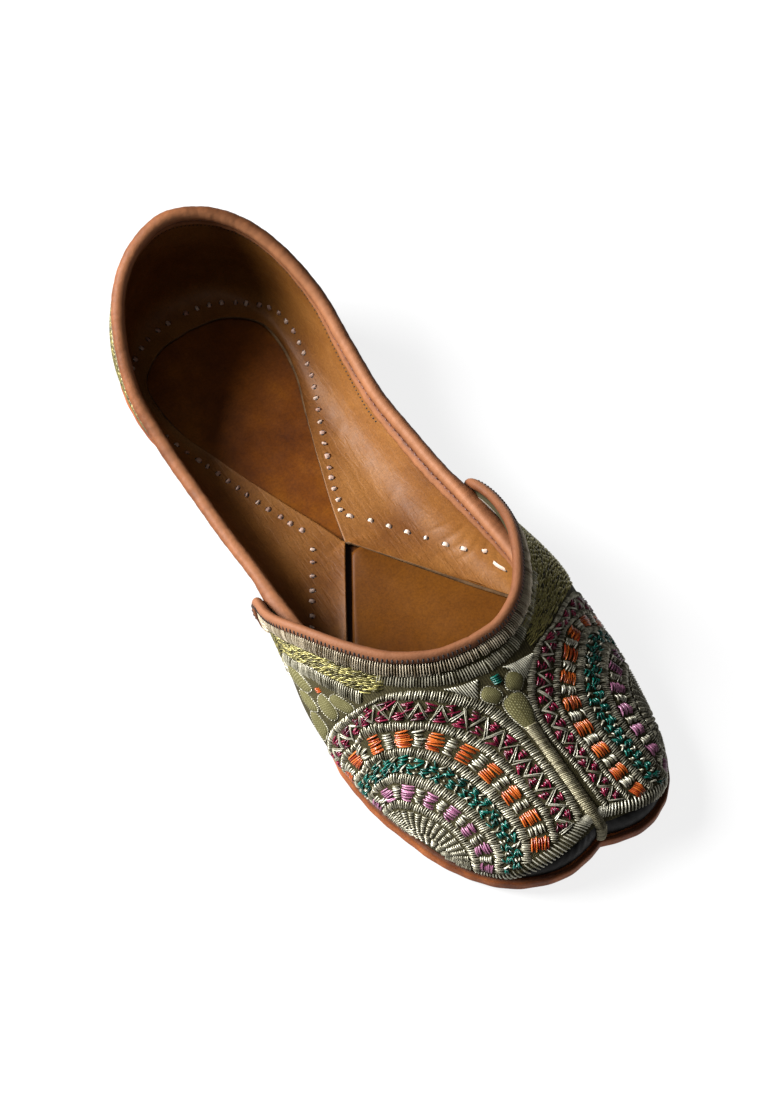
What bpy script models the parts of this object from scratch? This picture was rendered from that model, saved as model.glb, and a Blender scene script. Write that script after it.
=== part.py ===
"""A jutti, the flat slip-on shoe of north India, for the right foot.

Every piece is laid out on a straight last, alike on its left and its right. The last is
then swung towards the wearer's left at the toe, and lifted there by the toe spring.
The toe is at -Y, the heel at +Y, and the sole rests on Z = 0.
"""

from collections import namedtuple
import math

import bmesh
import bpy
from mathutils import Vector
import numpy as np

MM = 0.001

# Thicknesses and gaps, in millimetres
SOLE_THICK = 5.0
INSOLE_THICK = 1.6
WALL = 2.0
BAND_WALL = 1.5
BAND_BELOW = 1.4
GAP = 0.3
BINDING_RADIUS = 2.2
CORD_RADIUS = 1.5

# The last's sideways swing and its toe spring, in millimetres
SWING_START = 45.0
TOE_SWING = 11.6
TOE_REACH = 165.0
TOE_SWING_POWER = 1.3
HEEL_SWING = 1.3
HEEL_REACH = 80.0
SPRING_START = -80.0
SPRING_RISE = 4.6
SPRING_REACH = 45.0
SPRING_STEPS = 6

# The throat leans to the outer side and turns a little, and the outer side swells beside the toes
THROAT_LEAN = 1.5
THROAT_TURN = 0.045
LEAN_BOTTOM = 24.0
LEAN_RISE = 12.0
LEAN_FRONT = -85.0
LEAN_BACK = 60.0
LEAN_EASE = 30.0
OUTER_SWELL = 2.6
SWELL_START = -20.0
SWELL_REACH = 35.0

# The middle of the finished shoe's box on the swung last, which becomes the origin
BOX_CENTRE_X = 4.11
BOX_CENTRE_Y = 0.33

# Half of the sole's edge, from the notch between the two toe lobes round to the back of the heel
SolePoint = namedtuple("SolePoint", "half_breadth along")
SOLE_HALF = (
    SolePoint(0.0, -118.4),
    SolePoint(5.0, -120.2),
    SolePoint(14.0, -121.3),
    SolePoint(25.3, -117.2),
    SolePoint(35.0, -106.0),
    SolePoint(42.8, -84.0),
    SolePoint(45.5, -60.0),
    SolePoint(41.2, -35.0),
    SolePoint(34.0, -8.0),
    SolePoint(28.0, 18.0),
    SolePoint(26.2, 40.0),
    SolePoint(27.6, 62.0),
    SolePoint(30.0, 86.0),
    SolePoint(27.8, 103.0),
    SolePoint(17.2, 117.0),
    SolePoint(0.0, 121.5),
)

RIGHT_EDGE = np.array(SOLE_HALF, float)
WHOLE_EDGE = np.concatenate([RIGHT_EDGE, RIGHT_EDGE[-2::-1] * (-1, 1)])
EDGE_STEPS = np.linalg.norm(np.diff(WHOLE_EDGE, axis=0), axis=1)
EDGE_PLACES = np.concatenate([[0.0], np.cumsum(EDGE_STEPS)])
HEEL_FOOT = EDGE_PLACES[len(SOLE_HALF) - 1]

# Ribs of the vamp, each from the sole's edge to the crown line over the toes
# foot: distance along the sole's edge from the notch; slope: fall at the top, in degrees;
# belly: how far the wall swells outwards; hem: height of the lower edge above the sole
CrownRib = namedtuple("CrownRib", "foot top_y top_z slope belly hem")
CROWN_RIBS = (
    CrownRib(0.0, -111.0, 18.6, 38.0, 0.0, 8.5),
    CrownRib(6.0, -110.0, 19.0, 30.0, 0.8, 8.5),
    CrownRib(14.0, -107.5, 20.1, 22.0, 1.5, 8.3),
    CrownRib(26.0, -103.0, 22.0, 14.0, 1.5, 5.0),
    CrownRib(34.0, -100.0, 23.3, 11.0, 1.3, 0.0),
    CrownRib(60.0, -90.5, 26.8, 7.0, 2.6, 0.0),
    CrownRib(90.0, -79.0, 31.2, 4.0, 4.0, 0.0),
    CrownRib(120.0, -68.0, 36.8, 3.0, 12.5, 0.0),
    CrownRib(159.0, -56.2, 43.2, 5.0, 1.0, 0.0),
)

# The vamp's back edge: up from the sole to the rear corner, then along the throat to the crown line
# share: how far along the edge, from the sole to the crown line
ThroatPoint = namedtuple("ThroatPoint", "share x y z")
THROAT = (
    ThroatPoint(0.12, 38.7, -4.4, 13.0),
    ThroatPoint(0.24, 39.4, -1.0, 22.8),
    ThroatPoint(0.33, 40.4, -9.4, 28.2),
    ThroatPoint(0.47, 38.2, -21.5, 35.6),
    ThroatPoint(0.63, 30.4, -37.2, 40.8),
    ThroatPoint(0.78, 20.8, -48.8, 42.8),
    ThroatPoint(0.89, 10.8, -54.6, 43.2),
    ThroatPoint(1.00, 0.0, -56.2, 43.2),
)
THROAT_START = 50.0
THROAT_POWER = 2.0

# Ribs of the quarters, from the sole's edge to the middle of the topline's binding, front to heel
# inset: how far inside the sole's edge the wall stands
QuarterRib = namedtuple("QuarterRib", "foot inset top_x top_y top_z belly")
QUARTER_RIBS = (
    QuarterRib(110.0, 5.6, 34.4, -39.0, 22.4, 0.2),
    QuarterRib(124.0, 5.2, 35.4, -26.0, 24.2, 0.3),
    QuarterRib(137.0, 5.0, 35.3, -13.0, 24.9, 0.4),
    QuarterRib(152.0, 5.0, 35.0, 0.5, 24.9, 0.4),
    QuarterRib(164.0, 4.9, 34.5, 12.0, 24.7, 0.4),
    QuarterRib(178.0, 3.0, 34.3, 26.0, 24.7, 0.5),
    QuarterRib(194.0, 2.0, 33.9, 42.0, 25.6, 0.7),
    QuarterRib(214.0, 1.8, 34.6, 63.0, 29.5, 1.0),
    QuarterRib(232.0, 1.8, 34.3, 81.0, 36.1, 1.4),
    QuarterRib(247.0, 1.8, 30.0, 95.7, 43.7, 1.8),
    QuarterRib(262.0, 1.8, 22.8, 107.8, 49.9, 2.0),
    QuarterRib(277.0, 1.8, 11.8, 116.0, 54.6, 2.0),
    QuarterRib(HEEL_FOOT, 1.8, 0.0, 118.8, 56.6, 2.0),
)

# How far the insole stands inside the sole's edge, by distance from the notch
InsoleInset = namedtuple("InsoleInset", "foot inset")
INSOLE_INSETS = (
    InsoleInset(8.0, 7.2),
    InsoleInset(30.0, 5.4),
    InsoleInset(80.0, 5.4),
    InsoleInset(115.0, 8.4),
    InsoleInset(165.0, 8.0),
    InsoleInset(190.0, 5.4),
    InsoleInset(290.0, 5.0),
)

VAMP_INSET = 1.5
VAMP_END = CROWN_RIBS[-1].foot
FOOT_RISE = 0.6
TOP_REACH = 0.45
UP = Vector((0, 0, 1))


def smooth(places, values, wanted):
    """The values at one wanted place, on a smooth curve through the rows."""
    places = np.asarray(places, float)
    values = np.asarray(values, float)
    slopes = np.gradient(values, places, axis=0)
    row = int(np.clip(np.searchsorted(places, wanted, side="right") - 1, 0, len(places) - 2))
    step = places[row + 1] - places[row]
    t = (wanted - places[row]) / step
    from_start = (1 + 2 * t) * (1 - t) ** 2 * values[row]
    from_end = t * t * (3 - 2 * t) * values[row + 1]
    bend = t * (1 - t) * step * ((1 - t) * slopes[row] - t * slopes[row + 1])
    return from_start + from_end + bend


def table(rows):
    """The first column of a table, and the other columns beside it."""
    numbers = np.array(rows, float)
    return numbers[:, 0], numbers[:, 1:]


def edge_outward(foot):
    """The outward direction of the sole's right edge at this distance from the notch."""
    ahead = smooth(EDGE_PLACES, WHOLE_EDGE, foot + 0.2)
    behind = smooth(EDGE_PLACES, WHOLE_EDGE, foot - 0.2)
    along_x, along_y = (ahead - behind).tolist()
    return Vector((along_y, -along_x, 0)).normalized()


def edge_point(foot, inset=0.0):
    """A place on the sole's right edge, moved inwards by the inset."""
    x, y = smooth(EDGE_PLACES, WHOLE_EDGE, foot).tolist()
    if foot < 0.01:
        return Vector((0, y + inset, 0))
    moved = Vector((x, y, 0)) - inset * edge_outward(foot)
    return Vector((max(moved.x, 0), moved.y, 0))


def swing(y):
    """How far the centre line has swung to the wearer's left."""
    if y < SWING_START:
        return TOE_SWING * ((SWING_START - y) / TOE_REACH) ** TOE_SWING_POWER
    return HEEL_SWING * ((y - SWING_START) / HEEL_REACH) ** 2


def spring(y):
    """How far the toe spring has lifted the last."""
    return SPRING_RISE * (max(SPRING_START - y, 0) / SPRING_REACH) ** 2


def soft_step(t):
    """From 0 to 1 with a gentle start and end."""
    t = min(max(t, 0), 1)
    return t * t * (3 - 2 * t)


def lean(y, z):
    """How much of the throat's lean and turn a place takes, from 0 to 1."""
    ends = soft_step((y - LEAN_FRONT) / LEAN_EASE) * soft_step((LEAN_BACK - y) / LEAN_EASE)
    return ends * soft_step((z - LEAN_BOTTOM) / LEAN_RISE)


def swell(x, y):
    """How far the outer side swells to the wearer's right at this place."""
    return OUTER_SWELL * soft_step(-x / SWELL_REACH) * soft_step((SWELL_START - y) / SWELL_REACH)


def on_last(place, side=1):
    """A place on the straight last, in millimetres, as a place on the finished shoe in metres."""
    x = place.x * side
    part = lean(place.y, place.z)
    aside = swing(place.y) - THROAT_LEAN * part - swell(x, place.y)
    y = place.y - THROAT_TURN * x * part
    z = place.z + spring(place.y)
    return Vector((x + aside - BOX_CENTRE_X, y - BOX_CENTRE_Y, z)) * MM


def crown_point(foot):
    """Where the rib from this distance along the edge meets the crown line."""
    places, columns = table(CROWN_RIBS)
    top_y, top_z = smooth(places, columns, foot).tolist()[:2]
    return Vector((0, top_y, top_z))


def vamp_arc(foot, share, inset=VAMP_INSET):
    """A place on the plain arch from the sole's edge up to the crown line."""
    places, columns = table(CROWN_RIBS)
    _, _, slope, belly, _ = smooth(places, columns, foot).tolist()
    top = crown_point(foot)
    bottom = edge_point(foot, inset) + (SOLE_THICK + GAP) * UP
    outward = edge_outward(foot) if foot > 0.01 else Vector((0, -1, 0))
    fall_side = Vector((bottom.x - top.x, bottom.y - top.y, 0)).normalized()
    blend = min(max((foot - 40) / 60, 0), 1)
    fall_side = fall_side.lerp(outward, blend).normalized()
    reach = TOP_REACH * (top - bottom).length
    fall = fall_side * math.cos(math.radians(slope)) - UP * math.sin(math.radians(slope))
    first = bottom + FOOT_RISE * (top.z - bottom.z) * UP + belly * outward
    second = top + reach * fall
    left = 1 - share
    lower = left**3 * bottom + 3 * left**2 * share * first
    return lower + 3 * left * share**2 * second + share**3 * top


def throat_place(share):
    """A place on the vamp's back edge, from the sole up to the corner and along the throat."""
    shares, columns = table(THROAT)
    start = vamp_arc(VAMP_END, 0.0)
    shares = np.concatenate([[0.0], shares])
    columns = np.concatenate([[start[:]], columns])
    return Vector(smooth(shares, columns, share).tolist())


def vamp_place(foot, share, inset=VAMP_INSET):
    """A place on the vamp's outer face: the plain arch, drawn out behind to meet the throat's edge."""
    pull = max(foot - THROAT_START, 0) / (VAMP_END - THROAT_START)
    arc = vamp_arc(foot, share, inset)
    if pull == 0:
        return arc
    return arc + pull**THROAT_POWER * (throat_place(share) - vamp_arc(VAMP_END, share))


def vamp_hem(foot):
    """The height of the vamp's lower edge above the sole."""
    places, columns = table(CROWN_RIBS)
    return max(float(smooth(places, columns, foot)[4]), 0.0)


def share_at_height(foot, height, inset=VAMP_INSET):
    """How far along a rib it first reaches this height over its own foot."""
    bottom = vamp_place(foot, 0.0, inset).z
    low, high = 0.0, 1.0
    for _ in range(24):
        middle = (low + high) / 2
        if vamp_place(foot, middle, inset).z - bottom < height:
            low = middle
        else:
            high = middle
    return low


def topline_place(foot):
    """The middle of the topline's binding over this distance along the sole's edge."""
    places, columns = table(QUARTER_RIBS)
    places = np.append(places, 2 * places[-1] - places[-2])
    columns = np.append(columns, [columns[-2] * (1, -1, 1, 1, 1)], axis=0)
    inset, top_x, top_y, top_z, belly = smooth(places, columns, foot).tolist()
    return inset, Vector((top_x, top_y, top_z)), belly


def quarter_place(foot, share):
    """A place on the quarters' outer face, which stops just under the binding."""
    inset, middle, belly = topline_place(foot)
    bottom = edge_point(foot, inset) + (SOLE_THICK + GAP) * UP
    outward = edge_outward(foot)
    climb = (middle - bottom - 4 * belly * outward).normalized()
    across = (outward - outward.project(climb)).normalized()
    top = middle + WALL / 2 * across - (BINDING_RADIUS + 3 * GAP) * climb
    return bottom.lerp(top, share) + 4 * belly * share * (1 - share) * outward


# The look of each piece: colour as red, green and blue shares, then roughness and metallic value
Look = namedtuple("Look", "colour roughness metallic")
LOOKS = {
    "outsole": Look((0.25, 0.10, 0.04), 0.55, 0.0),
    "insole": Look((0.22, 0.09, 0.02), 0.40, 0.0),
    "upper_vamp": Look((0.30, 0.28, 0.17), 0.50, 0.3),
    "upper_quarters": Look((0.34, 0.16, 0.05), 0.45, 0.0),
    "toe_band": Look((0.012, 0.012, 0.012), 0.25, 0.0),
    "throat_binding": Look((0.42, 0.18, 0.08), 0.40, 0.0),
    "topline_binding": Look((0.42, 0.18, 0.08), 0.40, 0.0),
    "vamp_cord": Look((0.46, 0.40, 0.22), 0.45, 0.3),
}


def new_object(name, data, collection):
    """An object of this name in the shoe's collection, with its own material, on the shoe's empty."""
    made = bpy.data.objects.new(name, data)
    collection.objects.link(made)
    made.parent = collection.objects["jutti_origin"]
    look = LOOKS[name]
    material = bpy.data.materials.new(name)
    material.use_nodes = True
    surface = material.node_tree.nodes["Principled BSDF"]
    surface.inputs["Base Color"].default_value = (*look.colour, 1)
    surface.inputs["Roughness"].default_value = look.roughness
    surface.inputs["Metallic"].default_value = look.metallic
    data.materials.append(material)
    return made


def grid_sheet(name, columns, rows, place):
    """A grid whose every corner is moved to place(column, row)."""
    work = bmesh.new()
    bmesh.ops.create_grid(work, x_segments=columns, y_segments=rows, size=1)
    for corner in work.verts:
        column = round((corner.co.x + 1) / 2 * columns)
        row = round((corner.co.y + 1) / 2 * rows)
        corner.co = place(column, row)
    bmesh.ops.remove_doubles(work, verts=work.verts, dist=0.01 * MM)
    mesh = bpy.data.meshes.new(name)
    work.to_mesh(mesh)
    work.free()
    mesh.shade_smooth()
    return mesh


def shell(name, mesh, thick, collection):
    """A sheet thickened inwards into a closed wall."""
    made = new_object(name, mesh, collection)
    wall = made.modifiers.new("Wall", "SOLIDIFY")
    wall.thickness = thick * MM
    wall.offset = -1
    wall.use_even_offset = True
    wall.use_rim = True
    return made


def round_cord(name, places, radius, sides, collection):
    """A closed round cord along a line of places."""
    curve = bpy.data.curves.new(name, "CURVE")
    curve.dimensions = "3D"
    curve.bevel_depth = radius * MM
    curve.bevel_resolution = sides
    curve.use_fill_caps = True
    line = curve.splines.new("POLY")
    line.points.add(len(places) - 1)
    for point, place in zip(line.points, places):
        point.co = (*place, 1)
    return new_object(name, curve, collection)


def flat_slab(name, edge, bottom, thick, collection):
    """A slab with this outline, bent up along straight lines by the toe spring."""
    curve = bpy.data.curves.new(name, "CURVE")
    curve.dimensions = "2D"
    curve.fill_mode = "BOTH"
    curve.extrude = thick / 2 * MM
    line = curve.splines.new("POLY")
    line.points.add(len(edge) - 1)
    line.use_cyclic_u = True
    for point, place in zip(line.points, edge):
        point.co = (*(place * MM), 1)
    outline = bpy.data.objects.new(name + "_outline", curve)
    mesh = bpy.data.meshes.new_from_object(outline)
    bpy.data.objects.remove(outline)
    work = bmesh.new()
    work.from_mesh(mesh)
    bmesh.ops.remove_doubles(work, verts=work.verts, dist=0.01 * MM)
    front = min(place.y for place in edge)
    for step in range(SPRING_STEPS):
        bend_y = SPRING_START + (front - SPRING_START) * step / SPRING_STEPS
        pieces = work.verts[:] + work.edges[:] + work.faces[:]
        middle = Vector((0, bend_y * MM, 0))
        bmesh.ops.bisect_plane(work, geom=pieces, plane_co=middle, plane_no=(0, 1, 0))
    for corner in work.verts:
        height = bottom + thick * (corner.co.z > 0)
        corner.co = on_last(Vector((corner.co.x / MM, corner.co.y / MM, height)))
    bmesh.ops.recalc_face_normals(work, faces=work.faces)
    work.to_mesh(mesh)
    work.free()
    mesh.name = name
    return new_object(name, mesh, collection)


def whole_outline(feet, inset_at):
    """Places round both sides of the sole, moved inwards by inset_at(foot)."""
    right = [edge_point(foot, inset_at(foot)) for foot in feet]
    left = [Vector((-place.x, place.y, 0)) for place in right[::-1] if place.x > 0.01]
    return right + left


def build_soles(collection):
    """The outsole, and the insole that lies on it inside the walls."""
    toe = np.linspace(0, 40, 17)
    side = np.linspace(40, HEEL_FOOT - 55, 19)[1:]
    heel = np.linspace(HEEL_FOOT - 55, HEEL_FOOT, 16)[1:]
    feet = np.concatenate([toe, side, heel])
    flat_slab("outsole", whole_outline(feet, lambda foot: 0.0), 0.0, SOLE_THICK, collection)
    places, insets = table(INSOLE_INSETS)
    past_notch = [foot for foot in feet if foot > places[0]]
    inner = whole_outline(past_notch, lambda foot: float(smooth(places, insets, foot)[0]))
    flat_slab("insole", inner, SOLE_THICK + GAP, INSOLE_THICK, collection)


def build_vamp(collection):
    """The embroidered vamp over the toes, open behind, below and at the throat."""
    feet = np.concatenate([np.linspace(0, 36, 13), np.linspace(36, VAMP_END, 26)[1:]]).tolist()
    half = len(feet) - 1
    rows = 14

    def place(column, row):
        foot = feet[abs(column - half)]
        side = 1 if column >= half else -1
        start = share_at_height(foot, vamp_hem(foot)) if vamp_hem(foot) > 0 else 0.0
        return on_last(vamp_place(foot, start + (1 - start) * row / rows), side)

    mesh = grid_sheet("upper_vamp", 2 * half, rows, place)
    return shell("upper_vamp", mesh, WALL, collection)


def build_quarters(collection):
    """The two quarters in one wall round the heel, running forwards inside the vamp."""
    first = QUARTER_RIBS[0].foot
    feet = np.linspace(first, HEEL_FOOT, 31)
    half = len(feet) - 1
    rows = 8

    def place(column, row):
        foot = float(feet[column if column <= half else 2 * half - column])
        side = 1 if column <= half else -1
        return on_last(quarter_place(foot, row / rows), side)

    mesh = grid_sheet("upper_quarters", 2 * half, rows, place)
    return shell("upper_quarters", mesh, WALL, collection)


def build_toe_band(collection):
    """The bare leather band between the vamp's lower edge and the sole at the toe."""
    reach = 27.0
    feet = np.linspace(0, reach, 16)
    half = len(feet) - 1
    rows = 4

    def place(column, row):
        foot = float(feet[abs(column - half)])
        side = 1 if column >= half else -1
        inset = VAMP_INSET + 0.5
        top = share_at_height(foot, vamp_hem(foot) - BAND_BELOW, inset)
        return on_last(vamp_place(foot, top * row / rows, inset), side)

    mesh = grid_sheet("toe_band", 2 * half, rows, place)
    return shell("toe_band", mesh, BAND_WALL, collection)


def mirrored_line(right_places):
    """A line down the left side and back up the right side, through the shared middle."""
    left = [on_last(place, -1) for place in right_places]
    right = [on_last(place) for place in right_places]
    return left[:0:-1] + right


def build_bindings(collection):
    """The rolled leather edges of the throat and of the topline."""
    throat = []
    for share in np.linspace(1.0, 0.14, 23).tolist():
        edge = vamp_place(VAMP_END, share)
        along = throat_place(min(share + 0.01, 1)) - throat_place(share - 0.01)
        inside = vamp_place(VAMP_END - 2, share)
        off_edge = (edge - inside).normalized() + UP
        off_edge = (off_edge - off_edge.project(along)).normalized()
        inward = along.cross(off_edge).normalized()
        to_foot = Vector((-edge.x, 0, -20))
        inward = inward if inward.dot(to_foot) > 0 else -inward
        # At the corners the roll leans outwards, clear of the quarters.
        lean = min(max((share - 0.45) / 0.25, -0.6), 1)
        throat.append(edge + (BINDING_RADIUS + GAP) * off_edge + lean * WALL / 2 * inward)
    throat[0].x = 0
    round_cord("throat_binding", mirrored_line(throat), BINDING_RADIUS, 2, collection)
    feet = np.linspace(HEEL_FOOT, QUARTER_RIBS[0].foot + 0.5, 39).tolist()
    topline = [topline_place(foot)[1] for foot in feet]
    round_cord("topline_binding", mirrored_line(topline), BINDING_RADIUS, 2, collection)


def build_cord(collection):
    """The raised cord down the middle of the vamp and over the notch."""
    off = CORD_RADIUS + GAP
    line = []
    for foot in np.linspace(110, 0, 15).tolist():
        along = (crown_point(max(foot - 2, 0)) - crown_point(foot + 2)).normalized()
        line.append(crown_point(foot) + off * Vector((0, along.z, -along.y)))
    low = share_at_height(0.0, vamp_hem(0.0) + 1)
    for share in np.linspace(0.94, low, 6).tolist():
        along = (vamp_place(0.0, share - 0.02) - vamp_place(0.0, share + 0.02)).normalized()
        line.append(vamp_place(0.0, share) + off * Vector((0, along.z, -along.y)))
    round_cord("vamp_cord", [on_last(place) for place in line], CORD_RADIUS, 2, collection)


def main():
    for found in list(bpy.data.objects):
        bpy.data.objects.remove(found)
    collection = bpy.data.collections.new("jutti")
    bpy.context.scene.collection.children.link(collection)
    collection.objects.link(bpy.data.objects.new("jutti_origin", None))
    build_soles(collection)
    build_vamp(collection)
    build_quarters(collection)
    build_toe_band(collection)
    build_bindings(collection)
    build_cord(collection)


main()
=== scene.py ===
# %% [markdown]
# # A jutti, dressed over its CAD frame
# The CAD model gives the true shape of the last, the hollow upper and the sole. This lesson
# covers that frame with what the eye sees: leather, embroidered cloth and thousands of sewn
# threads. Every piece follows the same few tables of sizes, so all of them fit each other.

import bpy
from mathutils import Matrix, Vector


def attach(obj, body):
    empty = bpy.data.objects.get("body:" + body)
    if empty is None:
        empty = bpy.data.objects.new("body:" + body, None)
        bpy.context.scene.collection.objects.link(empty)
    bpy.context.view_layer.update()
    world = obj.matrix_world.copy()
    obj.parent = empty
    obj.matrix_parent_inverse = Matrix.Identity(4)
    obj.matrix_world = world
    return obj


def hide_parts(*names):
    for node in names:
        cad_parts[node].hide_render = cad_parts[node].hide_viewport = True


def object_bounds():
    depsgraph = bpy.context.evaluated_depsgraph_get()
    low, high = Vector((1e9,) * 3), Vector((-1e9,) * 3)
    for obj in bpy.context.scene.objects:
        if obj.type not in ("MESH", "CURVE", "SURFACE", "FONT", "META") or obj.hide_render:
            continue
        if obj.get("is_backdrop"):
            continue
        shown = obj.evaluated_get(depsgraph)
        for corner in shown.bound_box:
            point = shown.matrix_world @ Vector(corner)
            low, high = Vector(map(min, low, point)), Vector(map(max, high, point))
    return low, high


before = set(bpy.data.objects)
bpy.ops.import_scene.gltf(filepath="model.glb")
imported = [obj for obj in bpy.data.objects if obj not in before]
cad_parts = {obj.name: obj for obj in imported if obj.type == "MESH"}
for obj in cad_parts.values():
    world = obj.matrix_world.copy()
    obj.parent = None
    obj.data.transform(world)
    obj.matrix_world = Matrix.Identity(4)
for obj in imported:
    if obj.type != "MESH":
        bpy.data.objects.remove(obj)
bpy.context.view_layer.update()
print("CAD nodes:", ", ".join(sorted(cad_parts)))

# %% [markdown]
# ## The camera
# The shoe is seen from above and from the front left, with a long lens. The camera is placed by
# its angles round the shoe and its distance, because those are what a photographer sets.

# %% Place the camera
import math

import bmesh
import bpy
import numpy as np
from mathutils import Matrix, Vector
from mathutils.bvhtree import BVHTree

MM = 0.001
VIEW_TURN = math.radians(-35.25)
VIEW_RISE = math.radians(61.71)
VIEW_ROLL = math.radians(2.54)
VIEW_DISTANCE = 1.1068
VIEW_TARGET = Vector((0.0035, -0.0056, 0.020))
PHOTO_HIGH = 1108
FOCAL_PIXELS = 3517

back = Vector((math.sin(VIEW_TURN) * math.cos(VIEW_RISE),
               -math.cos(VIEW_TURN) * math.cos(VIEW_RISE),
               math.sin(VIEW_RISE)))
level = Vector((math.cos(VIEW_TURN), math.sin(VIEW_TURN), 0))
upright = back.cross(level)
view_right = level * math.cos(VIEW_ROLL) + upright * math.sin(VIEW_ROLL)
view_up = upright * math.cos(VIEW_ROLL) - level * math.sin(VIEW_ROLL)
lens = bpy.data.cameras.new("photo_camera")
lens.sensor_width = 36
lens.lens = FOCAL_PIXELS * lens.sensor_width / PHOTO_HIGH
lens.clip_start = 0.05
lens.clip_end = 20
camera = bpy.data.objects.new("photo_camera", lens)
bpy.context.scene.collection.objects.link(camera)
turned = Matrix((view_right, view_up, back)).transposed().to_4x4()
camera.matrix_world = Matrix.Translation(VIEW_TARGET + VIEW_DISTANCE * back) @ turned
bpy.context.scene.camera = camera
print("camera lens:", round(lens.lens, 1), "mm")

# %% [markdown]
# ## The last, in numbers
# A shoemaker works on a last. Here the last is a straight, symmetric form given by short tables,
# in millimetres. Each table is read on a smooth curve, for one place or for thousands at once,
# and the finished form is then swung to the wearer's left at the toe and lifted a little there.
# Elsewhere left and right are as we see them from the front, with the toe towards us.

# %% Tables of the last
SOLE_TOP = 5.3
WALL = 2.0
VAMP_INSET = 1.5
VAMP_END = 159.0
BINDING_RADIUS = 2.2
WALL_TOP_GAP = 3.1
TOE_SWING = 11.6
HEEL_SWING = 1.3
BALL_SWELL = 2.6
TOE_SPRING = 4.6
THROAT_LEAN = 1.5
THROAT_SKEW = 0.045
# how far the swung last is moved back, so that the shoe's box is centred
CENTRE_X = 4.11
CENTRE_Y = 0.33

# half breadth and place along the shoe, from the toe notch round to the back of the heel
SOLE_HALF = np.array((
    (0.0, -118.4), (5.0, -120.2), (14.0, -121.3), (25.3, -117.2), (35.0, -106.0), (42.8, -84.0),
    (45.5, -60.0), (41.2, -35.0), (34.0, -8.0), (28.0, 18.0), (26.2, 40.0), (27.6, 62.0),
    (30.0, 86.0), (27.8, 103.0), (17.2, 117.0), (0.0, 121.5)))
# foot along the sole's edge, then top y, top z, fall at the top in degrees, belly, hem height
CROWN_RIBS = np.array((
    (0, -111.0, 18.6, 38, 0.0, 8.5), (6, -110.0, 19.0, 30, 0.8, 8.5),
    (14, -107.5, 20.1, 22, 1.5, 8.3), (26, -103.0, 22.0, 14, 1.5, 5.0),
    (34, -100.0, 23.3, 11, 1.3, 0.0), (60, -90.5, 26.8, 7, 2.6, 0.0),
    (90, -79.0, 31.2, 4, 4.0, 0.0), (120, -68.0, 36.8, 3, 12.5, 0.0),
    (159, -56.2, 43.2, 5, 1.0, 0.0)))
# share of the way up the vamp's back edge, then x, y, z
THROAT = np.array((
    (0.12, 38.7, -4.4, 13.0), (0.24, 39.4, -1.0, 22.8), (0.33, 40.4, -9.4, 28.2),
    (0.47, 38.2, -21.5, 35.6), (0.63, 30.4, -37.2, 40.8), (0.78, 20.8, -48.8, 42.8),
    (0.89, 10.8, -54.6, 43.2), (1.00, 0.0, -56.2, 43.2)))
# foot, wall inset, x, y and z of the topline binding's middle, belly
QUARTER_RIBS = np.array((
    (110, 5.6, 34.4, -39.0, 22.4, 0.2), (124, 5.2, 35.4, -26.0, 24.2, 0.3),
    (137, 5.0, 35.3, -13.0, 24.9, 0.4), (152, 5.0, 35.0, 0.5, 24.9, 0.4),
    (164, 4.9, 34.5, 12.0, 24.7, 0.4), (178, 3.0, 34.3, 26.0, 24.7, 0.5),
    (194, 2.0, 33.9, 42.0, 25.6, 0.7), (214, 1.8, 34.6, 63.0, 29.5, 1.0),
    (232, 1.8, 34.3, 81.0, 36.1, 1.4), (247, 1.8, 30.0, 95.7, 43.7, 1.8),
    (262, 1.8, 22.8, 107.8, 49.9, 2.0), (277, 1.8, 11.8, 116.0, 54.6, 2.0)))
# foot, then how far the insole stands inside the sole's edge
INSOLE_INSETS = np.array((
    (8, 7.2), (30, 5.4), (80, 5.4), (115, 8.4), (165, 8.0), (190, 5.4), (290, 5.0)))


def distances(places):
    """How far along its row every place lies, for rows of places."""
    steps = np.linalg.norm(np.diff(places, axis=-2), axis=-1)
    return np.concatenate([0 * steps[..., :1], np.cumsum(steps, axis=-1)], axis=-1)


whole_edge = np.concatenate([SOLE_HALF, SOLE_HALF[-2::-1] * (-1, 1)])
EDGE = np.column_stack([distances(whole_edge), whole_edge])
HEEL_FOOT = EDGE[len(SOLE_HALF) - 1, 0]
heel_row = np.array([[HEEL_FOOT, 1.8, 0.0, 118.8, 56.6, 2.0]])
past_heel = QUARTER_RIBS[-1:] * (1, 1, -1, 1, 1, 1)
past_heel[0, 0] = 2 * HEEL_FOOT - QUARTER_RIBS[-1, 0]
QUARTER_RIBS = np.concatenate([QUARTER_RIBS, heel_row, past_heel])
print("sole's half edge:", round(float(HEEL_FOOT), 1), "mm")


# %% Read the tables on smooth curves
def through(rows, wanted):
    """The other columns of a table at the wanted values of its first column."""
    wanted = np.asarray(wanted, float)
    places = rows[:, 0]
    values = rows[:, 1:]
    slopes = np.gradient(values, places, axis=0)
    row = np.clip(np.searchsorted(places, wanted, side="right") - 1, 0, len(places) - 2)
    step = (places[row + 1] - places[row])[..., None]
    t = (wanted - places[row])[..., None] / step
    from_start = (1 + 2 * t) * (1 - t) ** 2 * values[row]
    from_end = t * t * (3 - 2 * t) * values[row + 1]
    bend = t * (1 - t) * step * ((1 - t) * slopes[row] - t * slopes[row + 1])
    return from_start + from_end + bend


def unit(vectors):
    """The same directions, each of length one."""
    return vectors / np.maximum(np.linalg.norm(vectors, axis=-1, keepdims=True), 1e-9)


def point(x, y, z):
    """Three arrays as one array of places."""
    return np.stack(np.broadcast_arrays(x, y, z), axis=-1).astype(float)


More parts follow.
